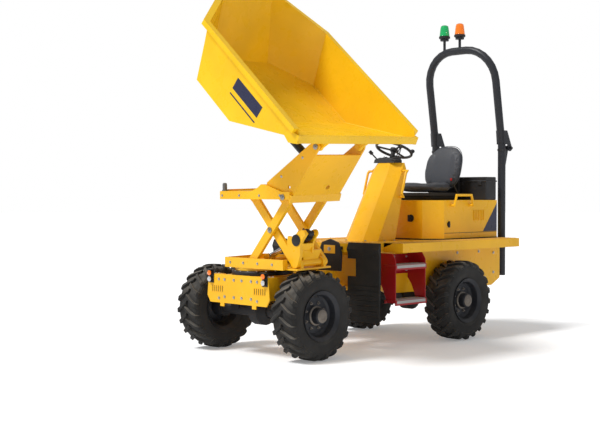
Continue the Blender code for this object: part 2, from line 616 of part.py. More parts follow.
half = TYRE_WIDTH / 2
tyre_outline = [
    (RIM_RADIUS, -0.095), (RIM_RADIUS + 0.035, -0.118), (0.29, -half), (0.345, -half + 0.006), (TYRE_RADIUS - 0.010, -half + 0.022),
    (TYRE_RADIUS, -0.085), (TYRE_RADIUS, 0.085), (TYRE_RADIUS - 0.010, half - 0.022), (0.345, half - 0.006),
    (0.29, half), (RIM_RADIUS + 0.035, 0.118), (RIM_RADIUS, 0.095),
]
well = RIM_RADIUS - FIT
rim_outline = [
    (0, -0.0995), (0.085, -0.0995), (0.085, -0.02), (0.150, 0.010), (0.170, -0.02), (well - 0.020, -0.100),
    (well + 0.012, -0.125), (well + 0.012, -0.119), (well, -0.096), (well, 0.096), (well + 0.012, 0.119), (well + 0.012, 0.125),
    (well - 0.020, 0.100), (0.170, 0.045), (0.150, 0.030), (0.085, 0.030), (0.070, 0.045), (0.066, 0.115), (0.058, 0.122), (0, 0.122),
]
WHEELS = (
    ("front_left", 1, -WHEEL_BASE / 2, front), ("front_right", -1, -WHEEL_BASE / 2, front),
    ("rear_left", 1, WHEEL_BASE / 2, machine), ("rear_right", -1, WHEEL_BASE / 2, machine),
)
for name, side, y, carrier in WHEELS:
    centre = (side * TRACK / 2, y, TYRE_RADIUS)
    spin = Body(f"wheel_{name}_axis", Matrix(), centre, carrier)
    piece(f"tyre_{name}", spin, RUBBER, [turned(tyre_outline, centre, (side, 0, 0), 32)], smooth=True)
    piece(f"rim_{name}", spin, RIM, [turned(rim_outline, centre, (side, 0, 0), 32)], smooth=True)


# ---------------------------------------------------------------- rams

def ram(name, frame, carrier, eye, rod_eye, across, barrel_radius, barrel_length, rod_start, look=DARK):
    """A ram in an x-z plane: the barrel turns about its eye, the rod slides in it and ends in an open eye."""
    eye, rod_eye = Vector((eye[0], across, eye[1])), Vector((rod_eye[0], across, rod_eye[1]))
    line = (rod_eye - eye).normalized()
    eye_radius = barrel_radius * 0.30 + 0.011
    mouth = eye + line * barrel_length
    width = Vector((0, 1, 0))
    barrel_body = Body(f"{name}_barrel_axis", frame, eye, carrier)
    rod_body = Body(f"{name}_rod_axis", frame, rod_eye, barrel_body)
    radius = barrel_radius * 0.45
    barrel = [rod(eye + line * (eye_radius * 0.6), mouth, barrel_radius, 20)]
    barrel.append(rod(eye - width * barrel_radius * 0.55, eye + width * barrel_radius * 0.55, eye_radius, 18))
    hollow = [bore(eye - width * 0.1, eye + width * 0.1, PIN * 0.75, 14)]
    hollow.append(bore(eye + line * (eye_radius + 0.020), mouth + line * 0.05, radius, 20))
    piece(f"{name}_barrel", barrel_body, look, barrel, hollow)
    inner_end = eye + line * rod_start
    stem = [rod(inner_end, rod_eye - line * (eye_radius * 0.6), radius, 20)]
    stem.append(rod(rod_eye - width * barrel_radius * 0.5, rod_eye + width * barrel_radius * 0.5, eye_radius, 18))
    open_eye = [rod(rod_eye - width * 0.1, rod_eye + width * 0.1, PIN * 0.75 + 0.004, 14)]
    piece(f"{name}_rod", rod_body, STEEL, stem, open_eye)


# ---------------------------------------------------------------- swivel base

swivel = Body("swivel_axis", slew_frame, (0, 0, SLEW_TOP), front)
WALL = 0.016
FLOOR_TOP = LIFT_LOW - ROLLER - FIT
base = [box((BASE_IN, 0.64), (-0.20, 0.20), (BASE_BOTTOM, FLOOR_TOP))]
base.append(box((BASE_IN, BASE_OUT), (-BASE_HALF, BASE_HALF), (BASE_BOTTOM, FLOOR_TOP)))
base.append(rod((0, 0, SLEW_TOP + FIT), (0, 0, BASE_BOTTOM + 0.005), SLEW_RADIUS - 0.03, 32))
base.append(box((BASE_IN, BASE_IN + WALL), (-BASE_HALF, BASE_HALF), (BASE_BOTTOM, BASE_TOP)))
for side in (-1, 1):
    wall = tuple(sorted((side * BASE_HALF, side * (BASE_HALF - WALL))))
    base.append(box((BASE_IN, BASE_OUT), wall, (BASE_BOTTOM, BASE_TOP)))
    turned_in = tuple(sorted((side * BASE_HALF, side * 0.186)))
    base.append(box((BASE_OUT - WALL, BASE_OUT), turned_in, (BASE_BOTTOM, BASE_TOP)))
    lug = [(0.505, FLOOR_TOP - 0.004), (0.515, 0.83), *arc((LIFT_PIN_U, LIFT_LOW), 0.046, 150, 0, 8), (0.635, FLOOR_TOP - 0.004)]
    base.append(slab("y", lug, *sorted((side * 0.118, side * (ARM_INNER - ARM_THICK - FIT * 2)))))
    cheek_v = LIFT_RAM_V + side * 0.042
    foot = [(0.155, FLOOR_TOP - 0.004), (0.245, FLOOR_TOP - 0.004), *arc(LIFT_RAM_FOOT, 0.024, 0, 180, 8)]
    base.append(slab("y", foot, cheek_v - 0.008, cheek_v + 0.008))
base_cut = [bore((LIFT_PIN_U, -0.3, LIFT_LOW), (LIFT_PIN_U, 0.3, LIFT_LOW), FOOT_TUBE, 24)]
piece("swivel_base", swivel, YELLOW, base, base_cut)

# ---------------------------------------------------------------- scissor lift

low_pin, high_pin = (LIFT_PIN_U, LIFT_LOW), (LIFT_PIN_U, LIFT_HIGH)
low_roll, high_roll = (LIFT_PIN_U - LIFT_RUN, LIFT_LOW), (LIFT_PIN_U - LIFT_RUN, LIFT_HIGH)
cross_pin = (LIFT_PIN_U - LIFT_RUN / 2, (LIFT_LOW + LIFT_HIGH) / 2)


def at(point, v):
    return (point[0], v, point[1])


inner_body = Body("lift_axis", slew_frame, at(low_pin, 0), swivel)
outer_body = Body("cross_pin_axis", slew_frame, at(cross_pin, 0), inner_body)
top_body = Body("tip_frame_axis", slew_frame, at(high_pin, 0), outer_body)

# The inner arms turn about the foot tube. Their near side is cut as a horned plate that the lift ram pushes.
arms = []
for side in (-1, 1):
    band = tuple(sorted((side * ARM_INNER, side * (ARM_INNER - ARM_THICK))))
    arms.append(bar(low_pin, high_roll, ARM_WIDTH, *band))
    arms.append(rod(at(high_roll, band[0] - 0.003), at(high_roll, band[1] + 0.003), ROLLER, 24))
    arms.append(rod(at(cross_pin, side * (ARM_INNER - 0.01)), at(cross_pin, side * (ARM_OUTER + 0.004)), PIN, 16))
horn = [
    (0.550, 0.800), (0.500, 1.000), (0.512, 1.053), (0.550, 1.047), (0.585, 1.052), (0.625, 1.085),
    *arc(HORN_PIN, 0.034, 120, -20, 8), (0.668, 1.010), (0.652, 0.960), (0.655, 0.900), (0.622, 0.815),
    (0.600, 0.792), (0.570, 0.792),
]
near = ARM_INNER - ARM_THICK
arms.append(slab("y", horn, -ARM_INNER, -near))
arms.append(slab("y", [p for p in horn if p[1] > 0.87], -0.034, -0.016))
arms.append(rod(at(low_pin, -near - 0.004), at(low_pin, near + 0.004), FOOT_TUBE, 24))
tie = [(0.600, 0.882), (0.612, 0.880), (0.664, 0.990), (0.652, 0.996)]
arms.append(slab("y", tie, -near - 0.004, -0.030))
tie_low = [(0.596, 0.876), (0.608, 0.872), (0.640, 0.930), (0.626, 0.934)]
arms.append(slab("y", tie_low, -near - 0.004, 0.09))
web = [(0.575, 0.848), (0.597, 0.848), (0.610, 0.880), (0.598, 0.886)]
arms.append(slab("y", web, -0.090, 0.09))
arms.append(rod(at(HORN_PIN, -near - 0.004), at(HORN_PIN, -0.020), PIN * 0.75, 14))
piece("lift_arms_inner", inner_body, YELLOW, arms)

# The outer arms cross outside them and are tied by the axle of their rollers.
arms = []
for side in (-1, 1):
    band = tuple(sorted((side * ARM_OUTER, side * (ARM_OUTER - ARM_THICK))))
    arms.append(bar(low_roll, high_pin, ARM_WIDTH, *band))
    arms.append(rod(at(low_roll, band[0] - 0.003), at(low_roll, band[1] + 0.003), ROLLER, 24))
arms.insert(0, rod(at(low_roll, -ARM_OUTER + 0.01), at(low_roll, ARM_OUTER - 0.01), 0.019, 20))
eyes = [bore(at(spot, -0.3), at(spot, 0.3), PIN, 16) for spot in (cross_pin, high_pin)]
piece("lift_arms_outer", outer_body, YELLOW, arms, eyes)

# ---------------------------------------------------------------- tipping frame

tower_low, tower_high = (0.681, 1.387), (0.984, 1.764)
slope = Vector((tower_high[0] - tower_low[0], tower_high[1] - tower_low[1])).normalized()
skin = Vector((-slope.y, slope.x)) * PLATE
frame = []
for side in (-1, 1):
    rail = tuple(sorted((side * RAIL_OUTER, side * (RAIL_OUTER - RAIL_WIDTH))))
    frame.append(box((RAIL_IN, RAIL_OUT), rail, (RAIL_BOTTOM, RAIL_TOP)))
    gusset = [
        (0.14, RAIL_TOP - 0.01), (0.22, 1.436), (0.285, 1.462), (0.325, 1.488), (0.37, 1.488), (0.47, 1.455), (0.64, 1.402),
    ]
    frame.append(slab("y", gusset, *sorted((side * RAIL_OUTER, side * (RAIL_OUTER - 0.018)))))
    tower = [
        (0.36, RAIL_TOP - 0.02), (0.375, 1.503), (0.881, 1.803), (0.925, 1.818), (0.975, 1.812), (0.990, 1.785),
        tower_high, tower_low, (0.66, RAIL_BOTTOM + 0.004), (0.52, RAIL_BOTTOM + 0.004),
    ]
    frame.append(slab("y", tower, *sorted((side * TOWER_HALF, side * (TOWER_HALF - 0.015)))))
    track = tuple(sorted((side * 0.135, side * (RAIL_OUTER - 0.002))))
    frame.append(box((RAIL_IN, 0.21), track, (LIFT_HIGH + ROLLER + FIT, LIFT_HIGH + ROLLER + 0.012)))
    frame.append(rod(at(high_pin, side * (TOWER_HALF - 0.01)), at(high_pin, side * (ARM_OUTER + FIT * 2)), 0.034, 18))
    frame.append(rod(at(high_pin, side * (RAIL_OUTER + 0.004)), at(high_pin, side * (ARM_OUTER - ARM_THICK)), PIN, 16))
    frame.append(rod(at(TIP_PIVOT, side * (TOWER_HALF + 0.006)), at(TIP_PIVOT, side * 0.216), 0.015, 16))
    cheek_v = TIP_RAM_V + side * (TIP_RAM + 0.012)
    cheek = [(0.775, 1.510), (0.860, 1.616), *arc(TIP_RAM_FOOT, 0.026, 60, 270, 8)]
    frame.append(slab("y", cheek, cheek_v - 0.006, cheek_v + 0.006))
frame.append(rod(at(TIP_RAM_FOOT, TIP_RAM_V - TIP_RAM - 0.014), at(TIP_RAM_FOOT, TIP_RAM_V + TIP_RAM + 0.014), PIN * 0.75, 14))
face_high = (tower_low[0] + slope.x * 0.42, tower_low[1] + slope.y * 0.42)
face = [tower_low, face_high, (face_high[0] + skin.x, face_high[1] + skin.y), (tower_low[0] + skin.x, tower_low[1] + skin.y)]
frame.append(slab("y", face, -TOWER_HALF + 0.002, TOWER_HALF - 0.002))
flange = [(0.652, 1.332), (0.664, 1.332), (0.686, 1.392), (0.672, 1.400), (0.652, 1.372)]
frame.append(slab("y", flange, -RAIL_OUTER + 0.002, RAIL_OUTER - 0.002))
track_top = LIFT_HIGH + ROLLER + 0.012
frame.append(box((RAIL_IN, RAIL_IN + 0.05), (-0.235, 0.235), (track_top - 0.004, track_top + 0.014)))
view_hole = [rod((0.60, 0.083, 1.56), (0.86, 0.083, 1.35), 0.022, 14)]
view_hole.append(rod((0.64, -0.30, 1.462), (0.64, -0.24, 1.462), 0.014, 14))
piece("tip_frame", top_body, YELLOW, frame, view_hole)

for name, side in (("front", -1), ("rear", 1)):
    v = side * (RAIL_OUTER - RAIL_WIDTH / 2)
    low = LIFT_HIGH + ROLLER + 0.012 + FIT
    stop = [(0, low), (0.026, low), (0.026, low + 0.045), (0.020, low + 0.050), (0.020, low + 0.070), (0, low + 0.070)]
    piece(f"buffer_{name}", top_body, RUBBER, [turned(stop, (-0.165, v, 0), (0, 0, 1), 18)], smooth=True)

# ---------------------------------------------------------------- skip

tipped = slew_frame @ Matrix.Translation(at(TIP_PIVOT, 0)) @ Matrix.Rotation(TIP_REST, 4, "Y")
skip_body = Body("tip_axis", tipped, (0, 0, 0), top_body)
lip_x, lip_z = SKIP_LIP


def skip_point(x, y, z):
    return Vector((lip_x + x, y, lip_z + z))


# Folded plate, drawn level: floor, pour plate, sides, two cut-off corners and a raised back.
shell = bmesh.new()
spots = {}
for side in (-1, 1):
    for key, x, y, z in (
        ("lip", 0.0, SKIP_HALF, -LIP_DROP),
        ("lip_rim", -0.050, SKIP_HALF, SKIP_RIM_HEIGHT),
        ("ridge", *SKIP_RIDGE[:1], SKIP_HALF, SKIP_RIDGE[1]),
        ("corner_floor", SKIP_FLOOR_CORNER, SKIP_HALF, SKIP_RIDGE[1]),
        ("corner_rim", SKIP_RIM_CORNER, SKIP_HALF, SKIP_RIM_HEIGHT),
        ("back_floor", SKIP_BACK_FLOOR[0], SKIP_BACK_FLOOR[1], SKIP_RIDGE[1]),
        ("back_fold", SKIP_BACK_RIM[0], SKIP_BACK_RIM[1], SKIP_RIM_HEIGHT),
        ("back_rim", SKIP_BACK_RIM[0], SKIP_BACK_RIM[1], SKIP_BACK_HEIGHT),
    ):
        spots[key, side] = shell.verts.new(skip_point(x, side * y, z))
for side in (-1, 1):
    for keys in (
        ("lip", "ridge", "corner_floor", "corner_rim", "lip_rim"),
        ("corner_floor", "back_floor", "back_fold"), ("corner_floor", "back_fold", "corner_rim"),
        ("corner_rim", "back_fold", "back_rim"),
    ):
        shell.faces.new([spots[key, side] for key in keys])
for loop in (("lip", "ridge"), ("ridge", "corner_floor"), ("back_floor", "back_fold"), ("back_fold", "back_rim")):
    shell.faces.new([spots[loop[0], -1], spots[loop[1], -1], spots[loop[1], 1], spots[loop[0], 1]])
shell.faces.new([
    spots["corner_floor", -1], spots["back_floor", -1], spots["back_floor", 1], spots["corner_floor", 1],
])
bmesh.ops.recalc_face_normals(shell, faces=shell.faces)
outward = sum((f.normal.dot(f.calc_center_median() - skip_point(-0.9, 0, -0.1)) for f in shell.faces), 0.0)
if outward < 0:
    bmesh.ops.reverse_faces(shell, faces=shell.faces)


def edge_bar(path, size):
    """A square bar along the outside of the rim, from the path downwards and outwards."""
    shape = bmesh.new()
    rings = []
    for i, spot in enumerate(path):
        before = (spot - path[i - 1]) if i else (path[1] - spot)
        after = (path[i + 1] - spot) if i + 1 < len(path) else before
        flat = (Vector((before.x, before.y, 0)).normalized() + Vector((after.x, after.y, 0)).normalized()).normalized()
        out = Vector((-flat.y, flat.x, 0))
        out *= size / out.dot(Vector((-before.y, before.x, 0)).normalized())
        inset = -out * (SHEET * 0.6 / size)
        down = Vector((0, 0, -size))
        rings.append([shape.verts.new(spot + step) for step in (inset, out, out + down, inset + down)])
    shape.faces.new(rings[0])
    shape.faces.new(rings[-1])
    for low, high in zip(rings, rings[1:]):
        for k in range(4):
            n = (k + 1) % 4
            shape.faces.new((low[k], low[n], high[n], high[k]))
    return finished(shape)


rim_path = [
    skip_point(-0.052, SKIP_HALF, SKIP_RIM_HEIGHT), skip_point(SKIP_RIM_CORNER, SKIP_HALF, SKIP_RIM_HEIGHT),
    skip_point(SKIP_BACK_RIM[0], SKIP_BACK_RIM[1], SKIP_BACK_HEIGHT),
    skip_point(SKIP_BACK_RIM[0], -SKIP_BACK_RIM[1], SKIP_BACK_HEIGHT),
    skip_point(SKIP_RIM_CORNER, -SKIP_HALF, SKIP_RIM_HEIGHT), skip_point(-0.052, -SKIP_HALF, SKIP_RIM_HEIGHT),
]
lip_bar = [(0.0, 0.0), (0.027, -0.052), (0.018, -0.058), (-0.030, -LIP_DROP - 0.020), (-0.012, 0.0)]
lip_bar = [(lip_x + x, lip_z + z) for x, z in lip_bar]
skip_parts = [shell, edge_bar([p + Vector((0, 0, 0)) for p in reversed(rim_path)], RIM_RAIL)]
skip_parts.append(slab("y", lip_bar, -SKIP_HALF - 0.004, SKIP_HALF + 0.004))
for side in (-1, 1):
    ear = [(lip_x - 0.12, lip_z - 0.03), (lip_x + 0.004, lip_z + 0.004), (lip_x + 0.022, lip_z - 0.060), (lip_x - 0.055, lip_z - 0.110), (lip_x - 0.13, lip_z - 0.095)]
    skip_parts.append(slab("y", ear, *sorted((side * (SKIP_HALF - 0.004), side * (SKIP_HALF + 0.018)))))
    lug = [(-0.16, 0.028), (0.09, 0.172), *arc((0, 0), 0.034, 20, -150, 10)]
    skip_parts.append(slab("y", lug, *sorted((side * 0.222, side * 0.246))))
    v = TIP_RAM_V + side * 0.034
    floor_z = lip_z + SKIP_RIDGE[1]
    ex, ez = TIP_RAM_EYE
    hanger = [(ex + 0.09, floor_z + 0.004), (ex - 0.09, floor_z + 0.004), *arc((ex, ez), 0.028, 190, 350, 8)]
    skip_parts.append(slab("y", hanger, v - 0.006, v + 0.006))
ex, ez = TIP_RAM_EYE
skip_cut = [bore((0, side * 0.20, 0), (0, side * 0.26, 0), 0.015, 16) for side in (-1, 1)]
piece("skip", skip_body, YELLOW, skip_parts, skip_cut, wall=SHEET)

# ---------------------------------------------------------------- the three rams

ram("lift_ram", slew_frame, inner_body, HORN_PIN, LIFT_RAM_FOOT, LIFT_RAM_V, LIFT_RAM, 0.330, 0.210)
eye_now = Matrix.Rotation(TIP_REST, 4, "Y") @ Vector((TIP_RAM_EYE[0], 0, TIP_RAM_EYE[1]))
eye_now = (TIP_PIVOT[0] + eye_now.x, TIP_PIVOT[1] + eye_now.z)
ram("tip_ram", slew_frame, top_body, TIP_RAM_FOOT, eye_now, TIP_RAM_V, TIP_RAM, 0.512, 0.278)
upright = Matrix.Translation((0, 0, STEER_RAM_Z)) @ Matrix.Rotation(math.radians(-90), 4, "X")
ram("steer_ram", upright, machine, STEER_RAM_FOOT, STEER_RAM_EYE, 0.0, STEER_RAM, 0.320, 0.172)
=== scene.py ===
import math

import bmesh
import bpy
from mathutils import Matrix, Vector


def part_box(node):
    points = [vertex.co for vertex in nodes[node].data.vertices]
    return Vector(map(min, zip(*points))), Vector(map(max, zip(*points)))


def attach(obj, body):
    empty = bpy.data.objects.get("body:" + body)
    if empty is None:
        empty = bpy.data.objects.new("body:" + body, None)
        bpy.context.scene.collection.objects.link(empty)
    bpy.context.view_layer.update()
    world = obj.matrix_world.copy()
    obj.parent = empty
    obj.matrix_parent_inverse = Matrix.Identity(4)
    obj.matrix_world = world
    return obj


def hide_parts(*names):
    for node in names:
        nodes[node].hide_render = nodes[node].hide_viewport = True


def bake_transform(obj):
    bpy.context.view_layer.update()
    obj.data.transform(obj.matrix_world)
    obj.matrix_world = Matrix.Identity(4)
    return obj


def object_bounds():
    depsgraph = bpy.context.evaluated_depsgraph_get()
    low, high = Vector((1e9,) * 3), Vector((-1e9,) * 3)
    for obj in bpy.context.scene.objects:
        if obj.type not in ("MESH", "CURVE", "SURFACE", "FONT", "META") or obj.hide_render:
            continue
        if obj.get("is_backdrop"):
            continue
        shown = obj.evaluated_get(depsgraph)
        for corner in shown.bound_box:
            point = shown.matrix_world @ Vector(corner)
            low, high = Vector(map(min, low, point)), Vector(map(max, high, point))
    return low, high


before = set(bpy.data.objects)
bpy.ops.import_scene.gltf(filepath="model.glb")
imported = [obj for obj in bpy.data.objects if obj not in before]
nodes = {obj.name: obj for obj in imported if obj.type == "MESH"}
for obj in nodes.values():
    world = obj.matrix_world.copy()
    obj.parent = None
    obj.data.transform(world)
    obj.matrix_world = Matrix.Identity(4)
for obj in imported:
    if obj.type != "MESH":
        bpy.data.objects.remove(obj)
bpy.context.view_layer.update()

# ================================================================ chassis, rear half
# A welded box of 12 mm steel plate, blasted and sprayed in gloss machine yellow. Plates are bolted to it
# with zinc-plated hexagon bolts; the paint has a fine orange peel and rubs thin on corners.


SHEEN = 0.30  # how much a painted or moulded surface mirrors, on the shader's 0 to 1 scale


def paint(name, colour, rough=0.38, metal=0.0, grain=260.0, bump=0.06, mottle=0.07, dust=0.12, worn=None):
    """A sprayed or moulded finish: cloudy colour, fine grain, settled dust and lighter, rubbed edges."""
    made = bpy.data.materials.new(name)
    made.use_nodes = True
    tree = made.node_tree
    put, join = tree.nodes.new, tree.links.new
    shader = tree.nodes["Principled BSDF"]
    shader.inputs["Metallic"].default_value = metal
    shader.inputs["Specular IOR Level"].default_value = SHEEN
    place = put("ShaderNodeTexCoord").outputs["Object"]

    def noise(scale, detail):
        made = put("ShaderNodeTexNoise")
        made.inputs["Scale"].default_value = scale
        made.inputs["Detail"].default_value = detail
        join(place, made.inputs["Vector"])
        return made.outputs["Fac"]

    def ranged(value, a, b, low, high):
        made = put("ShaderNodeMapRange")
        for i, number in enumerate((a, b, low, high), 1):
            made.inputs[i].default_value = number
        join(value, made.inputs[0])
        return made.outputs[0]

    def blended(value, first, second):
        made = put("ShaderNodeMix")
        made.data_type = "RGBA"
        join(value, made.inputs[0])
        for socket, colour in ((made.inputs[6], first), (made.inputs[7], second)):
            if isinstance(colour, tuple):
                socket.default_value = (*colour, 1)
            else:
                join(colour, socket)
        return made.outputs[2]

    dark = tuple(c * (1 - mottle) for c in colour)
    light = tuple(min(1.0, c * (1 + mottle)) for c in colour)
    tone = blended(ranged(noise(2.3, 5.0), 0.35, 0.65, 0.0, 1.0), dark, light)
    facing = put("ShaderNodeNewGeometry")
    split = put("ShaderNodeSeparateXYZ")
    join(facing.outputs["Normal"], split.inputs[0])
    lying = put("ShaderNodeMath")
    lying.operation = "MULTIPLY"
    join(ranged(split.outputs["Z"], 0.2, 1.0, 0.0, dust), lying.inputs[0])
    join(ranged(noise(7.0, 6.0), 0.4, 0.7, 0.2, 1.0), lying.inputs[1])
    tone = blended(lying.outputs[0], tone, (0.55, 0.50, 0.42))
    edge = worn or tuple(min(1.0, c * 1.35 + 0.03) for c in colour)
    tone = blended(ranged(facing.outputs["Pointiness"], 0.56, 0.66, 0.0, 0.55), tone, edge)
    join(tone, shader.inputs["Base Color"])
    handled = ranged(noise(11.0, 4.0), 0.3, 0.7, max(0.03, rough - 0.07), rough + 0.12)
    join(handled, shader.inputs["Roughness"])
    relief = put("ShaderNodeBump")
    relief.inputs["Strength"].default_value = bump
    relief.inputs["Distance"].default_value = 0.002
    join(noise(grain, 3.0), relief.inputs["Height"])
    join(relief.outputs[0], shader.inputs["Normal"])
    return made


YELLOW = paint("yellow_gloss", (0.88, 0.47, 0.010), 0.30, dust=0.08, worn=(0.93, 0.58, 0.05))
BLACK = paint("satin_black", (0.016, 0.016, 0.018), 0.42, dust=0.06)
BOLT = paint("zinc_plated", (0.42, 0.42, 0.42), 0.30, 0.9, grain=500)
DARK_BOLT = paint("black_fastener", (0.035, 0.035, 0.038), 0.38, 0.6)


def dress(name, look, width=0.0022, angle=34):
    """Finishes a plain node: seams welded, edges rolled over, and its paint."""
    obj = nodes[name]
    mesh = obj.data
    if "custom_normal" in mesh.attributes:
        mesh.attributes.remove(mesh.attributes["custom_normal"])
    mesh.polygons.foreach_set("use_smooth", [True] * len(mesh.polygons))
    mesh.materials.clear()
    mesh.materials.append(look)
    seams = obj.modifiers.new("seams", "WELD")
    seams.merge_threshold = 0.00004
    rolled = obj.modifiers.new("rolled_edges", "BEVEL")
    rolled.width = width
    rolled.segments = 2
    rolled.limit_method = "ANGLE"
    rolled.angle_limit = math.radians(angle)
    rolled.harden_normals = True
    return obj


class Shape:
    """Bars, plates, turned parts, pipes and bolts gathered into one piece."""

    def __init__(self, matrix=None):
        self.made = bmesh.new()
        self.matrix = matrix or Matrix()

    def ring_faces(self, loops, closed=True, caps=True):
        for low, high in zip(loops, loops[1:] + (loops[:1] if closed else [])):
            count = max(len(low), len(high))
            for k in range(count):
                n = (k + 1) % count
                corners = [low[k % len(low)], low[n % len(low)], high[n % len(high)], high[k % len(high)]]
                corners = list(dict.fromkeys(corners))
                if len(corners) > 2:
                    self.made.faces.new(corners)
        if caps and not closed:
            for loop in (loops[0], loops[-1]):
                if len(loop) > 2:
                    self.made.faces.new(loop)

    def point(self, spot):
        return self.made.verts.new(self.matrix @ Vector(spot))

    def plate(self, axis, outline, low, high):
        place = "xyz".index(axis)
        loops = [[self.point((*p[:place], d, *p[place:])) for p in outline] for d in (low, high)]
        self.ring_faces(loops, closed=False)
        return self

    def box(self, x, y, z):
        return self.plate("z", [(x[0], y[0]), (x[1], y[0]), (x[1], y[1]), (x[0], y[1])], *z)

    def lathe(self, profile, centre, axis, sides=24, spin=0.0):
        turn_to = Vector((0, 0, 1)).rotation_difference(Vector(axis)).to_matrix()
        loops = []
        for radius, along in profile:
            ring = 1 if radius < 1e-6 else sides
            turns = [2 * math.pi * k / sides + spin for k in range(ring)]
            spots = [Vector((radius * math.cos(t), radius * math.sin(t), along)) for t in turns]
            loops.append([self.point(turn_to @ s + Vector(centre)) for s in spots])
        self.ring_faces(loops, closed=profile[0][0] > 1e-6, caps=False)
        return self

    def bolt(self, centre, axis, size=0.010):
        """A hexagon head of that radius on its washer, standing out along the axis."""
        wide, thick, high = size * 1.35, size * 0.18, size * 0.85
        self.lathe([(0, 0), (wide, 0), (wide, thick), (0, thick)], centre, axis, 18)
        head = [(0, size * 0.1), (size, size * 0.1), (size, high * 0.85), (size * 0.86, high), (0, high)]
        self.lathe(head, centre, axis, 6)
        return self

    def pipe(self, path, radius, sides=12, smooth=0):
        path = [Vector(p) for p in path]
        if smooth:
            ends = [path[0] * 2 - path[1], *path, path[-1] * 2 - path[-2]]
            finer = []
            for a, b, c, d in zip(ends, ends[1:], ends[2:], ends[3:]):
                square, cube = 2 * a - 5 * b + 4 * c - d, 3 * b - a - 3 * c + d
                for t in (k / smooth for k in range(smooth)):
                    finer.append(0.5 * (2 * b + (c - a) * t + square * t * t + cube * t ** 3))
            path = finer + [path[-1]]
        side = (path[1] - path[0]).orthogonal().normalized()
        loops = []
        for i, spot in enumerate(path):
            along = (path[min(i + 1, len(path) - 1)] - path[max(i - 1, 0)]).normalized()
            side = (side - side.dot(along) * along).normalized()
            up = along.cross(side)
            turns = [2 * math.pi * k / sides for k in range(sides)]
            ring = [spot + radius * (math.cos(t) * side + math.sin(t) * up) for t in turns]
            loops.append([self.point(place) for place in ring])
        self.ring_faces(loops, closed=False)
        return self

    def finish(self, name, body, look, slot=None, smooth=True, width=0.0, stands_for=()):
        bmesh.ops.recalc_face_normals(self.made, faces=self.made.faces)
        mesh = bpy.data.meshes.new(name)
        self.made.to_mesh(mesh)
        self.made.free()
        obj = bpy.data.objects.new(name, mesh)
        bpy.context.scene.collection.objects.link(obj)
        mesh.materials.append(look)
        if smooth:
            mesh.polygons.foreach_set("use_smooth", [True] * len(mesh.polygons))
            mesh.set_sharp_from_angle(angle=math.radians(38))
        if width:
            rolled = obj.modifiers.new("rolled_edges", "BEVEL")
            rolled.width = width
            rolled.segments = 2
            rolled.limit_method = "ANGLE"
        if body:
            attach(obj, body)
        if stands_for:
            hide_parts(*stands_for)
        return obj


dress("rear_chassis", YELLOW, 0.003)
bolts = Shape()
for side in (-1, 1):
    for y, z in ((0.20, 0.80), (0.62, 0.80), (1.20, 0.82), (1.55, 0.82), (1.80, 0.80), (1.80, 0.60),
                 (0.62, 0.56), (1.66, 0.55)):
        bolts.bolt((side * 0.4500, y, z), (side, 0, 0), 0.011)
    for z in (0.62, 0.72, 0.82):
        bolts.bolt((side * 0.37, 1.9060, z), (0, 1, 0), 0.011)
bolts.finish("chassis_bolts", "machine", BOLT, "machine_yellow")
PLATE_DARK = paint("navy_film", (0.010, 0.013, 0.045), 0.28, dust=0.03)
filler = Shape().lathe([(0, 0), (0.034, 0), (0.034, 0.012), (0.030, 0.022), (0.012, 0.026), (0, 0.026)],
                       (0.4502, 1.36, 0.66), (1, 0, 0), 28)
for k in range(8):
    t = math.pi * k / 4
    spot = (0.4560, 1.36 + 0.034 * math.cos(t), 0.66 + 0.034 * math.sin(t))
    filler.lathe([(0, 0), (0.005, 0), (0.005, 0.014), (0, 0.014)], spot, (1, 0, 0), 8)
filler.finish("drain_cap", "machine", BLACK, "chassis_black")

# ================================================================ deck
# A folded 12 mm plate with a turned-down skirt. Its floor on both sides of the cover is raised-bar tread
# plate, screwed down at the edges, rubbed bright where boots land.
dress("deck", YELLOW, 0.004)
TREAD = paint("tread_plate", (0.80, 0.43, 0.014), 0.36, dust=0.30, worn=(0.9, 0.62, 0.2))


def tread_bar(shape, x, y, odd, low, high):
    """One raised bar of the tread plate's pattern; neighbours lean opposite ways."""
    lean = 0.010 if odd else -0.010
    shape.plate("z", [(x - 0.012, y - lean - 0.0025), (x + 0.012, y + lean - 0.0025),
                      (x + 0.012, y + lean + 0.0025), (x - 0.012, y - lean + 0.0025)], low, high)


floor_plates = Shape()
for side in (-1, 1):
    edge = sorted((side * 0.475, side * 0.668))
    floor_plates.box(edge, (0.115, 1.90), (0.9503, 0.9530))
    for row in range(52):
        for column in range(5):
            x, y = side * (0.495 + column * 0.038), 0.135 + row * 0.0342
            tread_bar(floor_plates, x, y, (row + column) % 2, 0.9525, 0.9548)
    for y in (0.14, 0.55, 0.96, 1.37, 1.78):
        screw = [(0, 0), (0.009, 0), (0.006, 0.004), (0, 0.004)]
        floor_plates.lathe(screw, (side * 0.655, y, 0.953), (0, 0, 1), 14)
floor_plates.finish("deck_tread", "machine", TREAD, "machine_yellow", smooth=False)
front_tread = Shape().box((-0.42, 0.42), (-0.17, 0.10), (0.9483, 0.9502))
for row in range(8):
    for column in range(22):
        x, y = -0.40 + column * 0.038, -0.155 + row * 0.0342
        tread_bar(front_tread, x, y, (row + column) % 2, 0.9500, 0.9522)
front_tread.finish("deck_front_tread", "machine", TREAD, "machine_yellow", smooth=False)

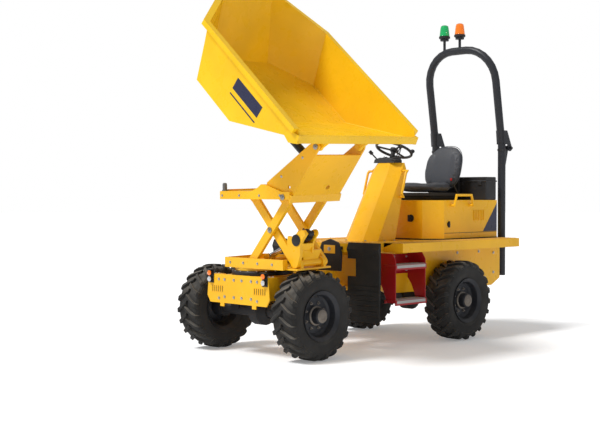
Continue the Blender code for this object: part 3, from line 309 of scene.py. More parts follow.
# ================================================================ axles and engine
# Cast drive axles with drained oil casings, sprayed satin black over the rough sand casting, and the
# engine's iron block, which sits under the cover.
CAST = paint("sand_casting", (0.022, 0.022, 0.024), 0.62, 0.2, grain=120, bump=0.35, dust=0.25)
for name in ("rear_axle", "front_axle", "engine_block"):
    dress(name, CAST, 0.004, 26)
for end, y, body in (("rear", 1.0, "machine"), ("front", -1.0, "front_chassis")):
    studs = Shape()
    for k in range(10):
        t = 2 * math.pi * k / 10
        v, z = y + 0.118 * math.cos(t), 0.38 + 0.118 * math.sin(t)
        for side in (-1, 1):
            studs.bolt((side * 0.050, v, z), (side, 0, 0), 0.008)
    for side in (-1, 1):
        for step in (-0.05, 0.05):
            studs.bolt((side * 0.335, y + step, 0.452), (side, 0, 0), 0.010)
    studs.finish(f"axle_bolts_{end}", body, DARK_BOLT, "axle_paint")

# ================================================================ engine cover
# A pressed steel hood, sprayed yellow, with black rubber seals, louvres for the cooling air, a rubber
# latch each side and the isolator's turn knob on its front face.
dress("engine_cover", YELLOW, 0.006)
louvres = Shape()
for side in (-1, 1):
    for k in range(7):
        y = 1.46 + k * 0.028
        outline = [(0.4495, 1.130), (0.4575, 1.138), (0.4575, 1.232), (0.4495, 1.240)]
        louvres.plate("y", [(side * x, z) for x, z in outline], y, y + 0.012)
louvres.finish("cover_louvres", "machine", YELLOW, "machine_yellow", smooth=False, width=0.0015)
seal = Shape()
for side in (-1, 1):
    foot = [(side * 0.454, 1.855, 0.957), (side * 0.454, 0.995, 0.957), (side * 0.305, 0.836, 0.957)]
    seal.pipe(foot, 0.005, 8)
    seal.pipe([(side * 0.4515, 0.995, 1.015), (side * 0.4515, 1.855, 1.015)], 0.0022, 6)
seal.pipe([(-0.305, 0.836, 0.957), (0.305, 0.836, 0.957)], 0.005, 8)
RUBBER = paint("seal_rubber", (0.018, 0.018, 0.018), 0.75, grain=180, bump=0.2)
seal.finish("cover_seal", "machine", RUBBER, "black_plastic")
latches = Shape()
for side in (-1, 1):
    outward = (side, 0, 0)
    latches.lathe([(0, 0), (0.024, 0), (0.024, 0.006), (0.018, 0.010), (0, 0.010)],
                  (side * 0.4502, 1.06, 1.10), outward, 24)
    latches.box(sorted((side * 0.452, side * 0.466)), (1.052, 1.068), (1.070, 1.130))
latches.lathe([(0, 0), (0.036, 0), (0.036, 0.008), (0.020, 0.012), (0.020, 0.030), (0, 0.030)],
              (0.16, 0.8398, 1.16), (0, -1, 0), 26)
latches.box((0.148, 0.172), (0.800, 0.812), (1.128, 1.192))
latches.finish("cover_latches", "machine", BLACK, "black_plastic", width=0.001)
flash = Shape()
for side in (-1, 1):
    flash.plate("x", [(1.858, 1.305), (1.858, 1.02), (1.62, 1.02)], *sorted((side * 0.4503, side * 0.4512)))
flash.finish("cover_flash", "machine", PLATE_DARK, "machine_yellow", smooth=False)
hood_line = Shape()
for side in (-1, 1):
    for y in (1.10, 1.40):
        flange = [(0, 0), (0.022, 0), (0.022, 0.004), (0, 0.004)]
        hood_line.lathe(flange, (side * 0.4502, y, 1.285), (side, 0, 0), 20)
        hood_line.bolt((side * 0.4535, y + 0.012, 1.300), (side, 0, 0), 0.004)
hood_line.finish("handle_flanges", "machine", YELLOW, "machine_yellow")

# ================================================================ seat
# A suspension seat: black bellows over the scissor frame, and two foam pads under charcoal vinyl with
# raised side bolsters and a piped seam. A red buckle belt is bolted to the frame.
VINYL = paint("seat_vinyl", (0.056, 0.060, 0.070), 0.50, grain=900, bump=0.22, mottle=0.12, dust=0.08)
PLASTIC = paint("moulded_black", (0.020, 0.020, 0.022), 0.48, grain=420, bump=0.14, dust=0.10)
dress("seat_base", PLASTIC, 0.003)
low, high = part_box("seat_base")
bellows = Shape()
for k in range(5):
    z = low[2] + 0.004 + k * 0.013
    grow = 0.010 if k % 2 else 0.0
    bellows.box((-0.205 - grow, 0.205 + grow), (1.085 - grow, 1.495 + grow), (z, z + 0.011))
bellows.finish("seat_bellows", "machine", RUBBER, "black_plastic", smooth=False, width=0.004)


def pad(name, node, half, power, shaping, place, cap):
    """A foam pad: a crowned closed form, blown up a little inside its cover, then its piped seam."""
    shape = bmesh.new()
    bmesh.ops.create_icosphere(shape, subdivisions=5, radius=1)
    for v in shape.verts:
        spot = [math.copysign(abs(c) ** power, c) for c in v.co]
        v.co = shaping(Vector([spot[i] * half[i] for i in range(3)]))
    mesh = bpy.data.meshes.new(name)
    shape.to_mesh(mesh)
    shape.free()
    obj = bpy.data.objects.new(name, mesh)
    bpy.context.scene.collection.objects.link(obj)
    grain = obj.modifiers.new("even", "REMESH")
    grain.mode = "VOXEL"
    grain.voxel_size = 0.006
    graph = bpy.context.evaluated_depsgraph_get()
    obj.data = bpy.data.meshes.new_from_object(obj.evaluated_get(graph))
    obj.modifiers.clear()
    start = [v.co.copy() for v in obj.data.vertices]
    cloth = obj.modifiers.new("cover", "CLOTH")
    cloth.settings.use_pressure = True
    cloth.settings.uniform_pressure_force = 4
    cloth.settings.effector_weights.gravity = 0
    cloth.settings.quality = 5
    for count in range(1, 16):
        bpy.context.scene.frame_set(count)
    graph = bpy.context.evaluated_depsgraph_get()
    blown = bpy.data.meshes.new_from_object(obj.evaluated_get(graph))
    obj.modifiers.clear()
    for v, was in zip(blown.vertices, start):
        step = v.co - was
        v.co = was + step * min(1.0, cap / max(step.length, 1e-9))
    obj.data = blown
    bpy.context.scene.frame_set(1)
    obj.data.transform(place)
    obj.data.polygons.foreach_set("use_smooth", [True] * len(obj.data.polygons))
    obj.data.materials.clear()
    obj.data.materials.append(VINYL)
    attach(obj, "machine")
    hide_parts(node)
    seam = Shape(place)
    turns = [2 * math.pi * k / 64 for k in range(65)]
    grow = 1.012
    around = []
    for t in turns:
        a, b = (math.copysign(abs(c) ** power, c) for c in (math.cos(t), math.sin(t)))
        around.append(shaping(Vector((a * half[0] * grow, b * half[1] * grow, 0.0))))
    seam.pipe(around, 0.0035, 6)
    seam.finish(f"{name}_piping", "machine", VINYL, "seat_vinyl")


def cushion_shape(v):
    side = min(1.0, max(0.0, (abs(v.x) - 0.12) / 0.10))
    v.z += (0.016 * side - 0.010 * (1 - side)) * (v.z > 0) + 0.012 * (v.y < -0.14) * (-(v.y + 0.14) / 0.07)
    return v


def back_shape(v):
    narrow = 1.0 - 0.22 * max(0.0, v.y / 0.24) ** 2
    side = min(1.0, max(0.0, (abs(v.x) - 0.11) / 0.10))
    v.z += 0.022 * side * (v.z > 0) * (1 if v.y < 0.14 else 0.4) - 0.03 * max(0.0, v.y / 0.24) ** 2
    v.x *= narrow
    return v


low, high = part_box("seat_cushion")
middle = [(a + b) / 2 for a, b in zip(low, high)]
pad("seat_cushion_pad", "seat_cushion", (0.232, 0.205, 0.042), 0.62, cushion_shape,
    Matrix.Translation((0, middle[1], middle[2] - 0.004)), 0.008)
low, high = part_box("seat_backrest")
place = Matrix.Translation((0, (low[1] + high[1]) / 2 - 0.003, (low[2] + high[2]) / 2))
place = place @ Matrix.Rotation(math.radians(75), 4, "X")
pad("seat_backrest_pad", "seat_backrest", (0.222, 0.232, 0.042), 0.66, back_shape, place, 0.008)
belt = Shape()
belt.pipe([(0.225, 1.50, 1.40), (0.240, 1.44, 1.455), (0.243, 1.40, 1.50)], 0.008, 8, smooth=4)
belt.box((0.228, 0.256), (1.372, 1.412), (1.495, 1.560))
belt.finish("belt_stalk", "machine", PLASTIC, "black_plastic", width=0.003)
RED = paint("red_enamel", (0.36, 0.008, 0.012), 0.34)
button = Shape().box((0.231, 0.253), (1.366, 1.372), (1.530, 1.556))
button.finish("belt_button", "machine", RED, "step_red", width=0.002)
dress("tool_box", PLASTIC, 0.012)
lid = Shape().box((-0.306, 0.456), (1.664, 1.856), (1.520, 1.5345))
lid.box((-0.02, 0.17), (1.659, 1.666), (1.49, 1.515))
for x in (-0.20, 0.35):
    lid.box((x, x + 0.05), (1.660, 1.668), (1.485, 1.530))
lid.finish("tool_box_lid", "machine", PLASTIC, "black_plastic", width=0.004)

# ================================================================ steering console
# A folded column in 12 mm plate, yellow, bolted to the deck, with two bent-tube grab handles. A black
# moulded panel on top carries the key, a dial and the skip levers with their ball knobs.
dress("console", YELLOW, 0.005)
feet = Shape()
for x, y in ((-0.125, 0.21), (0.125, 0.21), (-0.235, 0.36), (0.235, 0.36), (-0.235, 0.50), (0.235, 0.50)):
    feet.bolt((x, y, 0.9535), (0, 0, 1), 0.010)
feet.finish("console_bolts", "machine", BOLT, "machine_yellow")
rings = Shape()
for side in (-1, 1):
    for z, y in ((1.37, 0.63), (1.62, 0.68)):
        flange = [(0.012, 0), (0.024, 0), (0.024, 0.004), (0.012, 0.004)]
        rings.lathe(flange, (side * 0.183, y, z), (side, 0, 0), 20)
rings.finish("grab_flanges", "machine", YELLOW, "machine_yellow")
dress("instrument_panel", PLASTIC, 0.004)
dials = Shape()
for x, size in ((-0.055, 0.030), (0.060, 0.016), (0.098, 0.012)):
    face = [(0, 0), (size, 0), (size, 0.006), (size * 0.86, 0.008), (size * 0.84, 0.004), (0, 0.004)]
    dials.lathe(face, (x, 0.715, 1.7445), (0, 0.55, 0.83), 26)
dials.finish("dials", "machine", BOLT, "black_plastic")
levers = Shape()
for x, lean in ((0.115, 0.05), (0.145, 0.03)):
    stalk = [(x, 0.66, 1.735), (x + 0.02, 0.65 + lean * 0.4, 1.80), (x + 0.03, 0.64 + lean, 1.845)]
    levers.pipe(stalk, 0.005, 8, smooth=4)
    knob = [(0, -0.018), (0.010, -0.014), (0.016, 0), (0.011, 0.013), (0, 0.017)]
    levers.lathe(knob, (x + 0.03, 0.64 + lean, 1.855), (0, 0, 1), 16)
gaiter = [(0, 0), (0.045, 0), (0.040, 0.012), (0.030, 0.014), (0.032, 0.026), (0.020, 0.030), (0, 0.030)]
levers.lathe(gaiter, (0.115, 0.66, 1.726), (0, -0.1, 1), 20)
levers.finish("skip_levers", "machine", PLASTIC, "black_plastic")

# ================================================================ steering wheel
# A steel ring and three spokes in moulded black foam, with a hub cap and a spinner knob.
tilt = Matrix.Translation((0, 0.77, 1.83)) @ Matrix.Rotation(-math.radians(24), 4, "X")
wheel = Shape(tilt)
turns = [2 * math.pi * k / 14 for k in range(14)]
grip = [(0.177 + 0.0132 * math.cos(t), 0.0132 * math.sin(t)) for t in turns]
wheel.lathe(grip, (0, 0, 0), (0, 0, 1), 72)
for turn in (90, 210, 330):
    t = math.radians(turn)
    out = Vector((math.cos(t), math.sin(t), 0))
    spoke = [out * 0.02 + Vector((0, 0, -0.006)), out * 0.09 + Vector((0, 0, -0.004)), out * 0.172]
    wheel.pipe(spoke, 0.0095, 10, smooth=4)
hub = [(0, -0.019), (0.036, -0.019), (0.042, -0.004), (0.036, 0.014), (0.020, 0.021), (0, 0.023)]
wheel.lathe(hub, (0, 0, 0), (0, 0, 1), 32)
knob = [(0, 0.008), (0.012, 0.010), (0.011, 0.026), (0.021, 0.034), (0.021, 0.050), (0.012, 0.057),
        (0, 0.058)]
wheel.lathe(knob, (0.126, 0.126, 0), (0, 0, 1), 22)
wheel.finish("steering_wheel_rim", "steering_wheel", PLASTIC, "black_plastic", stands_for=["steering_wheel"])

# ================================================================ steps and mud flaps
# Steps are red bar frames bolted to the side panels, with light grey non-slip treads. The flaps are
# ribbed black rubber sheet on a folded bracket.
GREY = paint("non_slip_grey", (0.42, 0.42, 0.41), 0.62, grain=300, bump=0.6, dust=0.2)
for name, side in (("left", 1), ("right", -1)):
    dress(f"step_{name}", RED, 0.003)
    tread = Shape()
    for height in (0.757, 0.437):
        tread.box(sorted((side * 0.536, side * 0.661)), (0.034, 0.436), (height + 0.0003, height + 0.004))
        for k in range(9):
            y = 0.050 + k * 0.043
            dimple = [(0, 0), (0.013, 0), (0.010, 0.004), (0.005, 0.0045), (0, 0.0045)]
            tread.lathe(dimple, (side * 0.60, y + 0.010, height + 0.004), (0, 0, 1), 12)
        tread.box(sorted((side * 0.6672, side * 0.6700)), (0.034, 0.436), (height - 0.030, height - 0.004))
    tread.finish(f"step_treads_{name}", "machine", GREY, "step_red", width=0.0008)
    pins = Shape()
    for y in (0.06, 0.235, 0.41):
        for z in (0.685, 0.815):
            pins.bolt((side * 0.4602, y, z), (side, 0, 0), 0.009)
    pins.finish(f"step_bolts_{name}", "machine", BOLT, "step_red")
    dress(f"mud_flap_{name}", RUBBER, 0.003)
    ribs = Shape()
    for k in range(7):
        z = 0.30 + k * 0.045
        ribs.box(sorted((side * 0.32, side * 0.66)), (-0.2285, -0.2240), (z, z + 0.006))
    for x in (0.36, 0.49, 0.62):
        ribs.bolt((side * x, -0.2252, 0.84), (0, -1, 0), 0.008)
    ribs.finish(f"flap_ribs_{name}", "machine", RUBBER, "black_plastic", width=0.001)
dress("hose_guard", PLASTIC, 0.006)
guard = Shape().box((0.10, 0.24), (-0.329, -0.3255), (0.86, 0.935))
guard.finish("guard_plate", "machine", YELLOW, "machine_yellow", width=0.002)
Shape().bolt((0.17, -0.3292, 0.90), (0, -1, 0), 0.014).finish("guard_bolt", "machine", BOLT, "machine_yellow")

# ================================================================ roll-over hoop and beacons
# An 80 mm steel tube bent to a hoop and powder coated charcoal. It folds back on two pins between
# cheek plates and carries a green and an amber flashing beacon on stub stalks.
CHARCOAL = paint("charcoal_powder", (0.026, 0.028, 0.034), 0.42, grain=600, bump=0.12, dust=0.05)
dress("rops_base", CHARCOAL, 0.003, 32)
dress("rops_hoop", CHARCOAL, 0.003, 32)
fixings = Shape()
for side in (-1, 1):
    x = side * 0.43
    for z in (0.66, 0.74, 0.80):
        fixings.bolt((x - 0.010, 2.0090, z), (0, 1, 0), 0.011)
    fixings.bolt((x + side * 0.063, 2.052, 1.87), (side, 0, 0), 0.013)
    fixings.lathe([(0.0402, 0), (0.045, 0), (0.045, 0.02), (0.0402, 0.02)], (x, 1.97, 1.84), (0, 0, 1), 28)
fixings.finish("rops_fixings", "machine", DARK_BOLT, "rops_charcoal")
LENSES = {}
for name, colour in (("green", (0.004, 0.42, 0.12)), ("amber", (0.90, 0.22, 0.008))):
    lens = paint(f"lens_{name}", colour, 0.10, grain=60, bump=0.05, dust=0.0, worn=colour)
    shader = lens.node_tree.nodes["Principled BSDF"]
    shader.inputs["Transmission Weight"].default_value = 0.35
    shader.inputs["Emission Color"].default_value = (*colour, 1)
    shader.inputs["Emission Strength"].default_value = 0.25
    shader.inputs["Coat Weight"].default_value = 1.0
    LENSES[name] = lens
    low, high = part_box(f"beacon_{name}")
    x, y, z = (low[0] + high[0]) / 2, (low[1] + high[1]) / 2, low[2]
    dome = [(0, 0.030), (0.050, 0.030)]
    for k in range(9):
        dome += [(0.0535 - 0.0012 * k, 0.034 + 0.010 * k), (0.0515 - 0.0012 * k, 0.038 + 0.010 * k)]
    dome += [(0.038, 0.136), (0.022, 0.145), (0, 0.148)]
    cap = Shape().lathe(dome, (x, y, z), (0, 0, 1), 40)
    cap.finish(f"beacon_lens_{name}", "rops_hoop", lens, f"lens_{name}", stands_for=[f"beacon_{name}"])
    cup = [(0, 0.001), (0.048, 0.001), (0.058, 0.006), (0.059, 0.026), (0.052, 0.031), (0, 0.031)]
    foot = Shape().lathe(cup, (x, y, z), (0, 0, 1), 36)
    foot.finish(f"beacon_foot_{name}", "rops_hoop", PLASTIC, "black_plastic")

# ================================================================ chassis, front half
# A welded steel hull behind a 12 mm nose plate. The nose plate has pressed louvres at both ends, two
# tie-down tabs and stacked lamps, amber indicator above clear side lamp.
dress("front_chassis", YELLOW, 0.004)
dress("slew_ring", BLACK, 0.002)
nose = Shape()
for side in (-1, 1):
    for k in range(6):
        x = side * (0.205 + k * 0.026)
        outline = [(x - 0.006, -1.2895), (x + 0.006, -1.2895), (x + 0.006, -1.2935), (x - 0.006, -1.2965)]
        nose.plate("z", outline, 0.545, 0.600)
nose.finish("nose_louvres", "front_chassis", YELLOW, "machine_yellow", smooth=False, width=0.001)
# Flat black strips beside each louvre are painted shade for the dark openings of the pressed louvres.
dark = Shape()
for side in (-1, 1):
    for k in range(6):
        x = side * (0.205 + k * 0.026) + 0.009
        dark.box((x - 0.0022, x + 0.0022), (-1.2912, -1.2896), (0.548, 0.597))
dark.finish("nose_slot_shade", "front_chassis", BLACK, "chassis_black", smooth=False)
studs = Shape()
for side in (-1, 1):
    for x, z in ((0.05, 0.655), (0.17, 0.655), (0.05, 0.505), (0.17, 0.505), (0.245, 0.655), (0.245, 0.490)):
        studs.bolt((side * x, -1.2902, z), (0, -1, 0), 0.010)
    for y in (-1.24, -1.20):
        studs.bolt((side * 0.345, y, 0.6962), (0, 0, 1), 0.010)
for k in range(20):
    t = 2 * math.pi * k / 20
    x, y = 0.257 * math.cos(t), 0.257 * math.sin(t)
    studs.bolt((x, -1.0 + y, 0.7385 + y * 0.0262), (0, 0, 1), 0.0065)
studs.finish("nose_bolts", "front_chassis", BOLT, "machine_yellow")
CLEAR = paint("lens_clear", (0.62, 0.64, 0.66), 0.08, 0.3, grain=90, bump=0.3, dust=0.0)
for name, side in (("left", 1), ("right", -1)):
    dress(f"lamp_{name}", BLACK, 0.0015)
    for kind, z, look in (("clear", 0.652, CLEAR), ("amber", 0.706, LENSES["amber"])):
        lens = Shape().lathe([(0, 0), (0.0225, 0), (0.0215, 0.005), (0.012, 0.010), (0, 0.012)],
                             (side * 0.345, -1.3164, z), (0, -1, 0), 28)
        lens.finish(f"lamp_{kind}_{name}", "front_chassis", look, "lens_amber")

# ================================================================ wheels
# Cleated tyres on dark pressed rims. Each tyre has heavy chevron bars that run from the crown over the
# shoulder; the hubs are grey-brown castings held by eight wheel nuts.
TYRE = paint("tyre_rubber", (0.026, 0.025, 0.024), 0.78, grain=150, bump=0.3, mottle=0.18, dust=0.40,
             worn=(0.12, 0.11, 0.10))
RIM = paint("rim_dark", (0.030, 0.032, 0.038), 0.42, 0.2, dust=0.12)
HUB = paint("hub_casting", (0.20, 0.175, 0.15), 0.5, 0.5, grain=150, bump=0.25, dust=0.2)
carcass = [(0.200, -0.095), (0.206, -0.110), (0.232, -0.120), (0.262, -0.127), (0.300, -0.130),
           (0.330, -0.125), (0.348, -0.110), (0.354, -0.070), (0.3555, 0.0)]
carcass += [(r, -a) for r, a in reversed(carcass[:-1])]
# Tread bars: across the tyre, outer and inner radius, lag round the wheel, and half width of each section.
BAR = ((-0.010, 0.3795, 0.345, 0.000, 0.0150), (0.045, 0.3795, 0.345, 0.105, 0.0165),
       (0.090, 0.3780, 0.342, 0.185, 0.0190), (0.118, 0.3680, 0.335, 0.225, 0.0215),
       (0.1305, 0.3480, 0.322, 0.238, 0.0210), (0.1310, 0.3180, 0.300, 0.240, 0.0150))
CORNERS = (("front_left", 1, -1), ("front_right", -1, -1), ("rear_left", 1, 1), ("rear_right", -1, 1))
for name, side, y in CORNERS:
    centre = (side * 0.61, y, 0.38)
    tyre = Shape().lathe(carcass, centre, (side, 0, 0), 72)
    for radius in (0.240, 0.318):
        for flank in (-1, 1):
            where = 0.1225 if radius < 0.3 else 0.1295
            foot, crest = flank * (where - 0.003), flank * (where + 0.0012)
            ridge = [(radius - 0.003, foot), (radius, crest), (radius + 0.003, foot)]
            tyre.lathe(ridge, centre, (side, 0, 0), 72)
    for flank in (-1, 1):
        for k in range(21):
            start = 2 * math.pi * (k + (0.5 if flank > 0 else 0.0)) / 21
            loops = []
            for across, outer, inner, lag, wide in BAR:
                turn = start - y * lag
                ring = []
                for radius, grow in ((inner, 1.25), (outer, 0.85)):
                    for step in ((-1, 1) if radius == inner else (1, -1)):
                        t = turn + step * wide * grow / radius
                        shift = 0.0 if radius == outer or across < 0.1 else -0.012
                        x, v, w = flank * (across + shift), radius * math.cos(t), radius * math.sin(t)
                        ring.append(tyre.point((centre[0] + x, centre[1] + v, centre[2] + w)))
                loops.append(ring)
            tyre.ring_faces(loops, closed=False)
    tyre.finish(f"tread_{name}", f"wheel_{name}", TYRE, "tyre_rubber", width=0.0022,
                stands_for=[f"tyre_{name}"])
    dress(f"rim_{name}", RIM, 0.003, 26)
    hub = Shape()
    for outline in (
        [(0, 0.118), (0.052, 0.118), (0.056, 0.124), (0.050, 0.129), (0.030, 0.132), (0.026, 0.128),
         (0, 0.128)],
        [(0.0705, 0.046), (0.082, 0.046), (0.082, 0.056), (0.074, 0.062), (0.0705, 0.062)],
    ):
        hub.lathe(outline, centre, (side, 0, 0), 36)
    hub.finish(f"hub_{name}", f"wheel_{name}", HUB, "rim_grey")
    nuts = Shape()
    for k in range(8):
        t = 2 * math.pi * (k + 0.5) / 8
        spot = (centre[0] + side * 0.0335, y + 0.112 * math.cos(t), 0.38 + 0.112 * math.sin(t))
        nuts.bolt(spot, (side, 0, 0), 0.0105)
        nuts.lathe([(0, 0), (0.0055, 0), (0.0055, 0.018), (0, 0.020)], spot, (side, 0, 0), 10)
    for k in range(6):
        t = 2 * math.pi * k / 6
        spot = (centre[0] + side * 0.1295, y + 0.041 * math.cos(t), 0.38 + 0.041 * math.sin(t))
        nuts.bolt(spot, (side, 0, 0), 0.0045)
    nuts.finish(f"wheel_nuts_{name}", f"wheel_{name}", HUB, "rim_grey")
    stem = [(centre[0] + side * 0.062, y, 0.550), (centre[0] + side * 0.088, y, 0.540)]
    valve = Shape().pipe(stem, 0.004, 8)
    valve.finish(f"valve_{name}", f"wheel_{name}", RUBBER, "black_plastic")

# ================================================================ swivel base and scissor lift
# Welded yellow plate: a tray on the slew ring, two pairs of flat-bar arms that cross on greased pins,
# and rollers that run in the tray and under the tipping frame.
RAKE = Matrix.Rotation(math.radians(1.5), 4, "X")
raked = Matrix.Translation((0, -1.0, 0.742)) @ RAKE @ Matrix.Translation((0, 0, -0.742))
for name in ("swivel_base", "lift_arms_inner", "lift_arms_outer", "tip_frame"):
    dress(name, YELLOW, 0.0022)
PIN = paint("greased_pin", (0.30, 0.29, 0.27), 0.34, 0.9, dust=0.1)
tray = Shape(raked)
for side in (-1, 1):
    for u in (-0.15, 0.02, 0.20, 0.38):
        tray.bolt((u, side * 0.2422, 0.812), (0, side, 0), 0.009)
for v in (-0.16, 0.0, 0.16):
    tray.bolt((-0.2202, v, 0.812), (-1, 0, 0), 0.009)
tray.finish("tray_bolts", "swivel_base", BOLT, "machine_yellow")
for body, spots in (("lift_arms_inner", ((0.34, 1.1015, 0.224),)),
                    ("tip_frame", ((0.585, 1.380, 0.304), (0.955, 1.785, 0.283)))):
    heads = Shape(raked)
    for u, z, v in spots:
        for side in (-1, 1):
            washer = [(0, 0), (0.024, 0), (0.024, 0.004), (0.019, 0.007), (0, 0.007)]
            heads.lathe(washer, (u, side * v, z), (0, side, 0), 26)
            heads.bolt((u, side * (v + 0.006), z), (0, side, 0), 0.008)
    heads.finish(f"pin_heads_{body}", body, PIN, "machine_yellow")
rollers = Shape(raked)
for side in (-1, 1):
    rollers.lathe([(0, 0), (0.030, 0), (0.030, 0.0015), (0.012, 0.0015), (0.012, 0.004), (0, 0.004)],
                  (0.095, side * 0.2232, 0.823), (0, side, 0), 24)
rollers.finish("roller_caps_low", "lift_arms_outer", PIN, "machine_yellow")
cap = Shape(raked)
cap.lathe([(0, 0), (0.046, 0), (0.049, 0.002), (0.049, 0.005), (0.044, 0.0065), (0, 0.0065)],
          (0.612, -0.1803, 1.020), (0, -1, 0), 40)
cap.finish("horn_cap", "lift_arms_inner", BLACK, "chassis_black")
hose = Shape(raked)
for route in (((0.30, 0.05, 0.800), (0.40, 0.03, 0.830), (0.45, 0.0, 0.800), (0.54, -0.03, 0.795)),
              ((0.30, 0.09, 0.795), (0.20, 0.10, 0.812), (0.05, 0.08, 0.795), (-0.10, 0.03, 0.800))):
    hose.pipe(route, 0.008, 10, smooth=6)
hose.finish("tray_hoses", "swivel_base", RUBBER, "black_plastic")
for name, spots in (
    ("a", ((0.05, -0.21, 0.80), (0.07, -0.30, 0.775), (0.06, -0.42, 0.735), (0.03, -0.56, 0.712),
           (0.02, -0.70, 0.712))),
    ("b", ((-0.05, -0.21, 0.79), (-0.04, -0.32, 0.762), (-0.05, -0.44, 0.725), (-0.03, -0.56, 0.711),
           (-0.04, -0.70, 0.711))),
):
    line = Shape().pipe(spots, 0.009, 12, smooth=8)
    line = line.finish(f"joint_hose_{name}", None, RUBBER, "black_plastic")
    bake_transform(line)

# ================================================================ tipping frame
# Two box rails and a sloped tower in yellow plate. Grey rubber buffers on the rails take the level skip.
tower = Shape(raked)
for side in (-1, 1):
    for u in (-0.170, 0.05, 0.30, 0.55):
        tower.bolt((u, side * 0.3002, 1.394), (0, side, 0), 0.008)
    for u, z in ((0.47, 1.44), (0.80, 1.70), (0.55, 1.55)):
        tower.lathe([(0, 0), (0.012, 0), (0.009, 0.003), (0, 0.003)], (u, side * 0.2772, z), (0, side, 0), 16)
tower.finish("tower_bolts", "tip_frame", BOLT, "machine_yellow")
BUFFER = paint("buffer_grey", (0.13, 0.13, 0.13), 0.7, grain=120, bump=0.2)
for name in ("front", "rear"):
    low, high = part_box(f"buffer_{name}")
    block = Shape(Matrix.Translation([(a + b) / 2 for a, b in zip(low, high)]) @ RAKE)
    block.lathe([(0, 0), (0.025, 0), (0.025, 0.006), (0.020, 0.012), (0.0195, 0.058), (0.017, 0.066),
                 (0.010, 0.0695), (0, 0.0695)], (0, 0, -0.0348), (0, 0, 1), 30)
    block.finish(f"buffer_block_{name}", "tip_frame", BUFFER, "buffer_rubber", stands_for=[f"buffer_{name}"])
pipes = Shape(raked)
route = ((0.50, 0.115, 1.44), (0.56, 0.10, 1.47), (0.64, 0.10, 1.51), (0.700, 0.085, 1.548))
pipes.pipe(route, 0.008, 10, smooth=6)
pipes.finish("tip_hose", "tip_frame", RUBBER, "black_plastic")

# ================================================================ skip
# Pressed and folded 8 mm plate with a square bar rolled round its rim and a thick pouring lip. Inside,
# loads have polished and scored the paint. A blank navy plate and stripe are stuck to each side.
# The skip's yellow is the machine yellow painted lighter and yellower: painted light standing in for the
# strong light on the skip, not a different paint.
SKIP_LIT_YELLOW = paint("skip_lit_yellow", (0.92, 0.55, 0.012), 0.28, dust=0.05, worn=(0.95, 0.66, 0.07))
dress("skip", SKIP_LIT_YELLOW, 0.0025)
tipped = raked @ Matrix.Translation((0.955, 0, 1.785)) @ Matrix.Rotation(math.radians(42.2), 4, "Y")
tipped = tipped @ Matrix.Translation((0.130, 0, 0.214))
plates = Shape(tipped)
for side in (-1, 1):
    plates.box((-0.840, -0.465), sorted((side * 0.6922, side * 0.6935)), (-0.205, -0.100))
    plates.box((-0.840, -0.460), sorted((side * 0.6922, side * 0.6932)), (-0.257, -0.245))
plates.finish("skip_plates", "skip", PLATE_DARK, "machine_yellow", smooth=False)
bead = Shape(tipped)
for side in (-1, 1):
    corner = (-0.70, side * 0.6815, -0.4225)
    bead.pipe([corner, (-1.235, side * 0.6815, -0.4225), (-1.415, side * 0.6830, -0.004)], 0.0045, 6)
    bead.pipe([corner, (-0.030, side * 0.6815, -0.037)], 0.0045, 6)
bead.finish("skip_welds", "skip", SKIP_LIT_YELLOW, "machine_yellow")

# ================================================================ rams
# Honed steel barrels in satin black with screwed gland nuts, and ground, chrome-plated rods.
CHROME = paint("ground_chrome", (0.62, 0.62, 0.63), 0.12, 1.0, grain=800, bump=0.03, dust=0.0,
               worn=(0.7, 0.7, 0.7))
for name in ("lift", "tip", "steer"):
    dress(f"{name}_ram_barrel", BLACK, 0.002, 26)
    dress(f"{name}_ram_rod", CHROME, 0.0012, 26)
for name, start, end, radius, length, ports, frame_of in (
    ("lift", (0.680, -0.089, 1.073), (0.200, -0.089, 0.868), 0.050, 0.330, (0.16, 0.86), raked),
    ("tip", (0.715, 0.045, 1.560), (0.1003, 0.045, 2.0795), 0.034, 0.512, (0.16, 0.86), raked),
    ("steer", (-0.300, 0.0, 0.735), (-0.150, -0.490, 0.735), 0.026, 0.320, (), Matrix()),
):
    start, end = Vector(start), Vector(end)
    line = (end - start).normalized()
    gland = Shape(frame_of)
    bore, wide, top = radius * 0.50, radius * 0.94, radius * 0.80
    nut = [(bore, 0), (wide, 0), (wide, 0.006), (top, 0.010), (bore, 0.010)]
    gland.lathe(nut, start + line * (length + 0.0003), line, 8)
    side = line.cross(Vector((0, 0, 1))).normalized()
    up = side.cross(line)
    for spot in ports:
        at = start + line * (length * spot) + up * radius * 0.97
        port = [(0, -0.004), (0.014, -0.004), (0.014, 0.008), (0.009, 0.010), (0.009, 0.018), (0, 0.018)]
        gland.lathe(port, at, up, 12)
    gland.finish(f"{name}_ram_gland", f"{name}_ram_barrel", BLACK, "chassis_black")

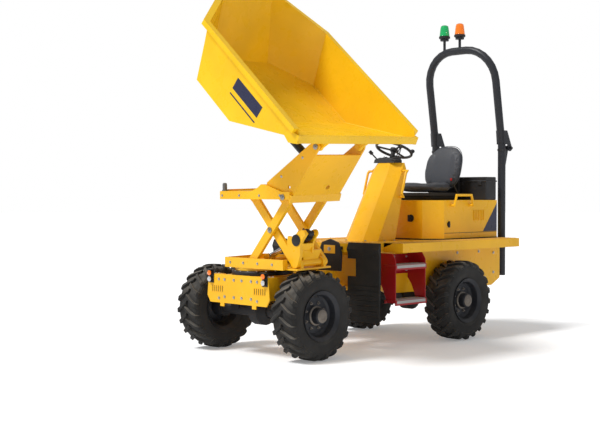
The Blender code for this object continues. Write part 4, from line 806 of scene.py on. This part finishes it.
# ================================================================ floor, light and camera
# A pale studio floor, one large soft lamp high on the machine's front right and an even white surround.
ground = bpy.data.meshes.new("floor")
corners = [(-60, -60, -0.001), (60, -60, -0.001), (60, 60, -0.001), (-60, 60, -0.001)]
ground.from_pydata(corners, [], [(0, 1, 2, 3)])
floor = bpy.data.objects.new("floor", ground)
bpy.context.scene.collection.objects.link(floor)
pale = bpy.data.materials.new("pale_floor")
pale.use_nodes = True
shader = pale.node_tree.nodes["Principled BSDF"]
shader.inputs["Base Color"].default_value = (0.93, 0.93, 0.93, 1)
shader.inputs["Roughness"].default_value = 0.9
shader.inputs["Specular IOR Level"].default_value = 0.1
shader.inputs["Emission Color"].default_value = (1, 1, 1, 1)
shader.inputs["Emission Strength"].default_value = 0.22
ground.materials.append(pale)
floor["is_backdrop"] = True

scene = bpy.context.scene
world = bpy.data.worlds.new("studio")
scene.world = world
world.use_nodes = True
tree = world.node_tree
seen = tree.nodes["Background"]
seen.inputs["Color"].default_value = (1.0, 1.0, 1.0, 1)
seen.inputs["Strength"].default_value = 1.0
soft = tree.nodes.new("ShaderNodeBackground")
soft.inputs["Color"].default_value = (0.97, 0.98, 1.0, 1)
soft.inputs["Strength"].default_value = 0.40
kind_of_ray = tree.nodes.new("ShaderNodeLightPath")
either = tree.nodes.new("ShaderNodeMixShader")
tree.links.new(kind_of_ray.outputs["Is Camera Ray"], either.inputs[0])
tree.links.new(soft.outputs[0], either.inputs[1])
tree.links.new(seen.outputs[0], either.inputs[2])
tree.links.new(either.outputs[0], tree.nodes["World Output"].inputs["Surface"])
sun = bpy.data.lights.new("key", "SUN")
sun.energy = 2.6
sun.angle = math.radians(16)
lamp = bpy.data.objects.new("key", sun)
scene.collection.objects.link(lamp)
lamp.rotation_euler = Vector((-0.27, -0.75, 1.12)).to_track_quat("Z", "Y").to_euler()
scene.view_settings.view_transform = "Standard"

lens = bpy.data.cameras.new("camera")
lens.lens = 69.06
lens.sensor_width = 36
camera = bpy.data.objects.new("camera", lens)
scene.collection.objects.link(camera)
camera.location = (7.384, -7.878, 1.410)
yaw, pitch = math.radians(45.158), math.radians(1.113)
aim = Vector((-math.sin(yaw) * math.cos(pitch), math.cos(yaw) * math.cos(pitch), -math.sin(pitch)))
camera.rotation_euler = aim.to_track_quat("-Z", "Y").to_euler()
scene.camera = camera

low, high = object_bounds()
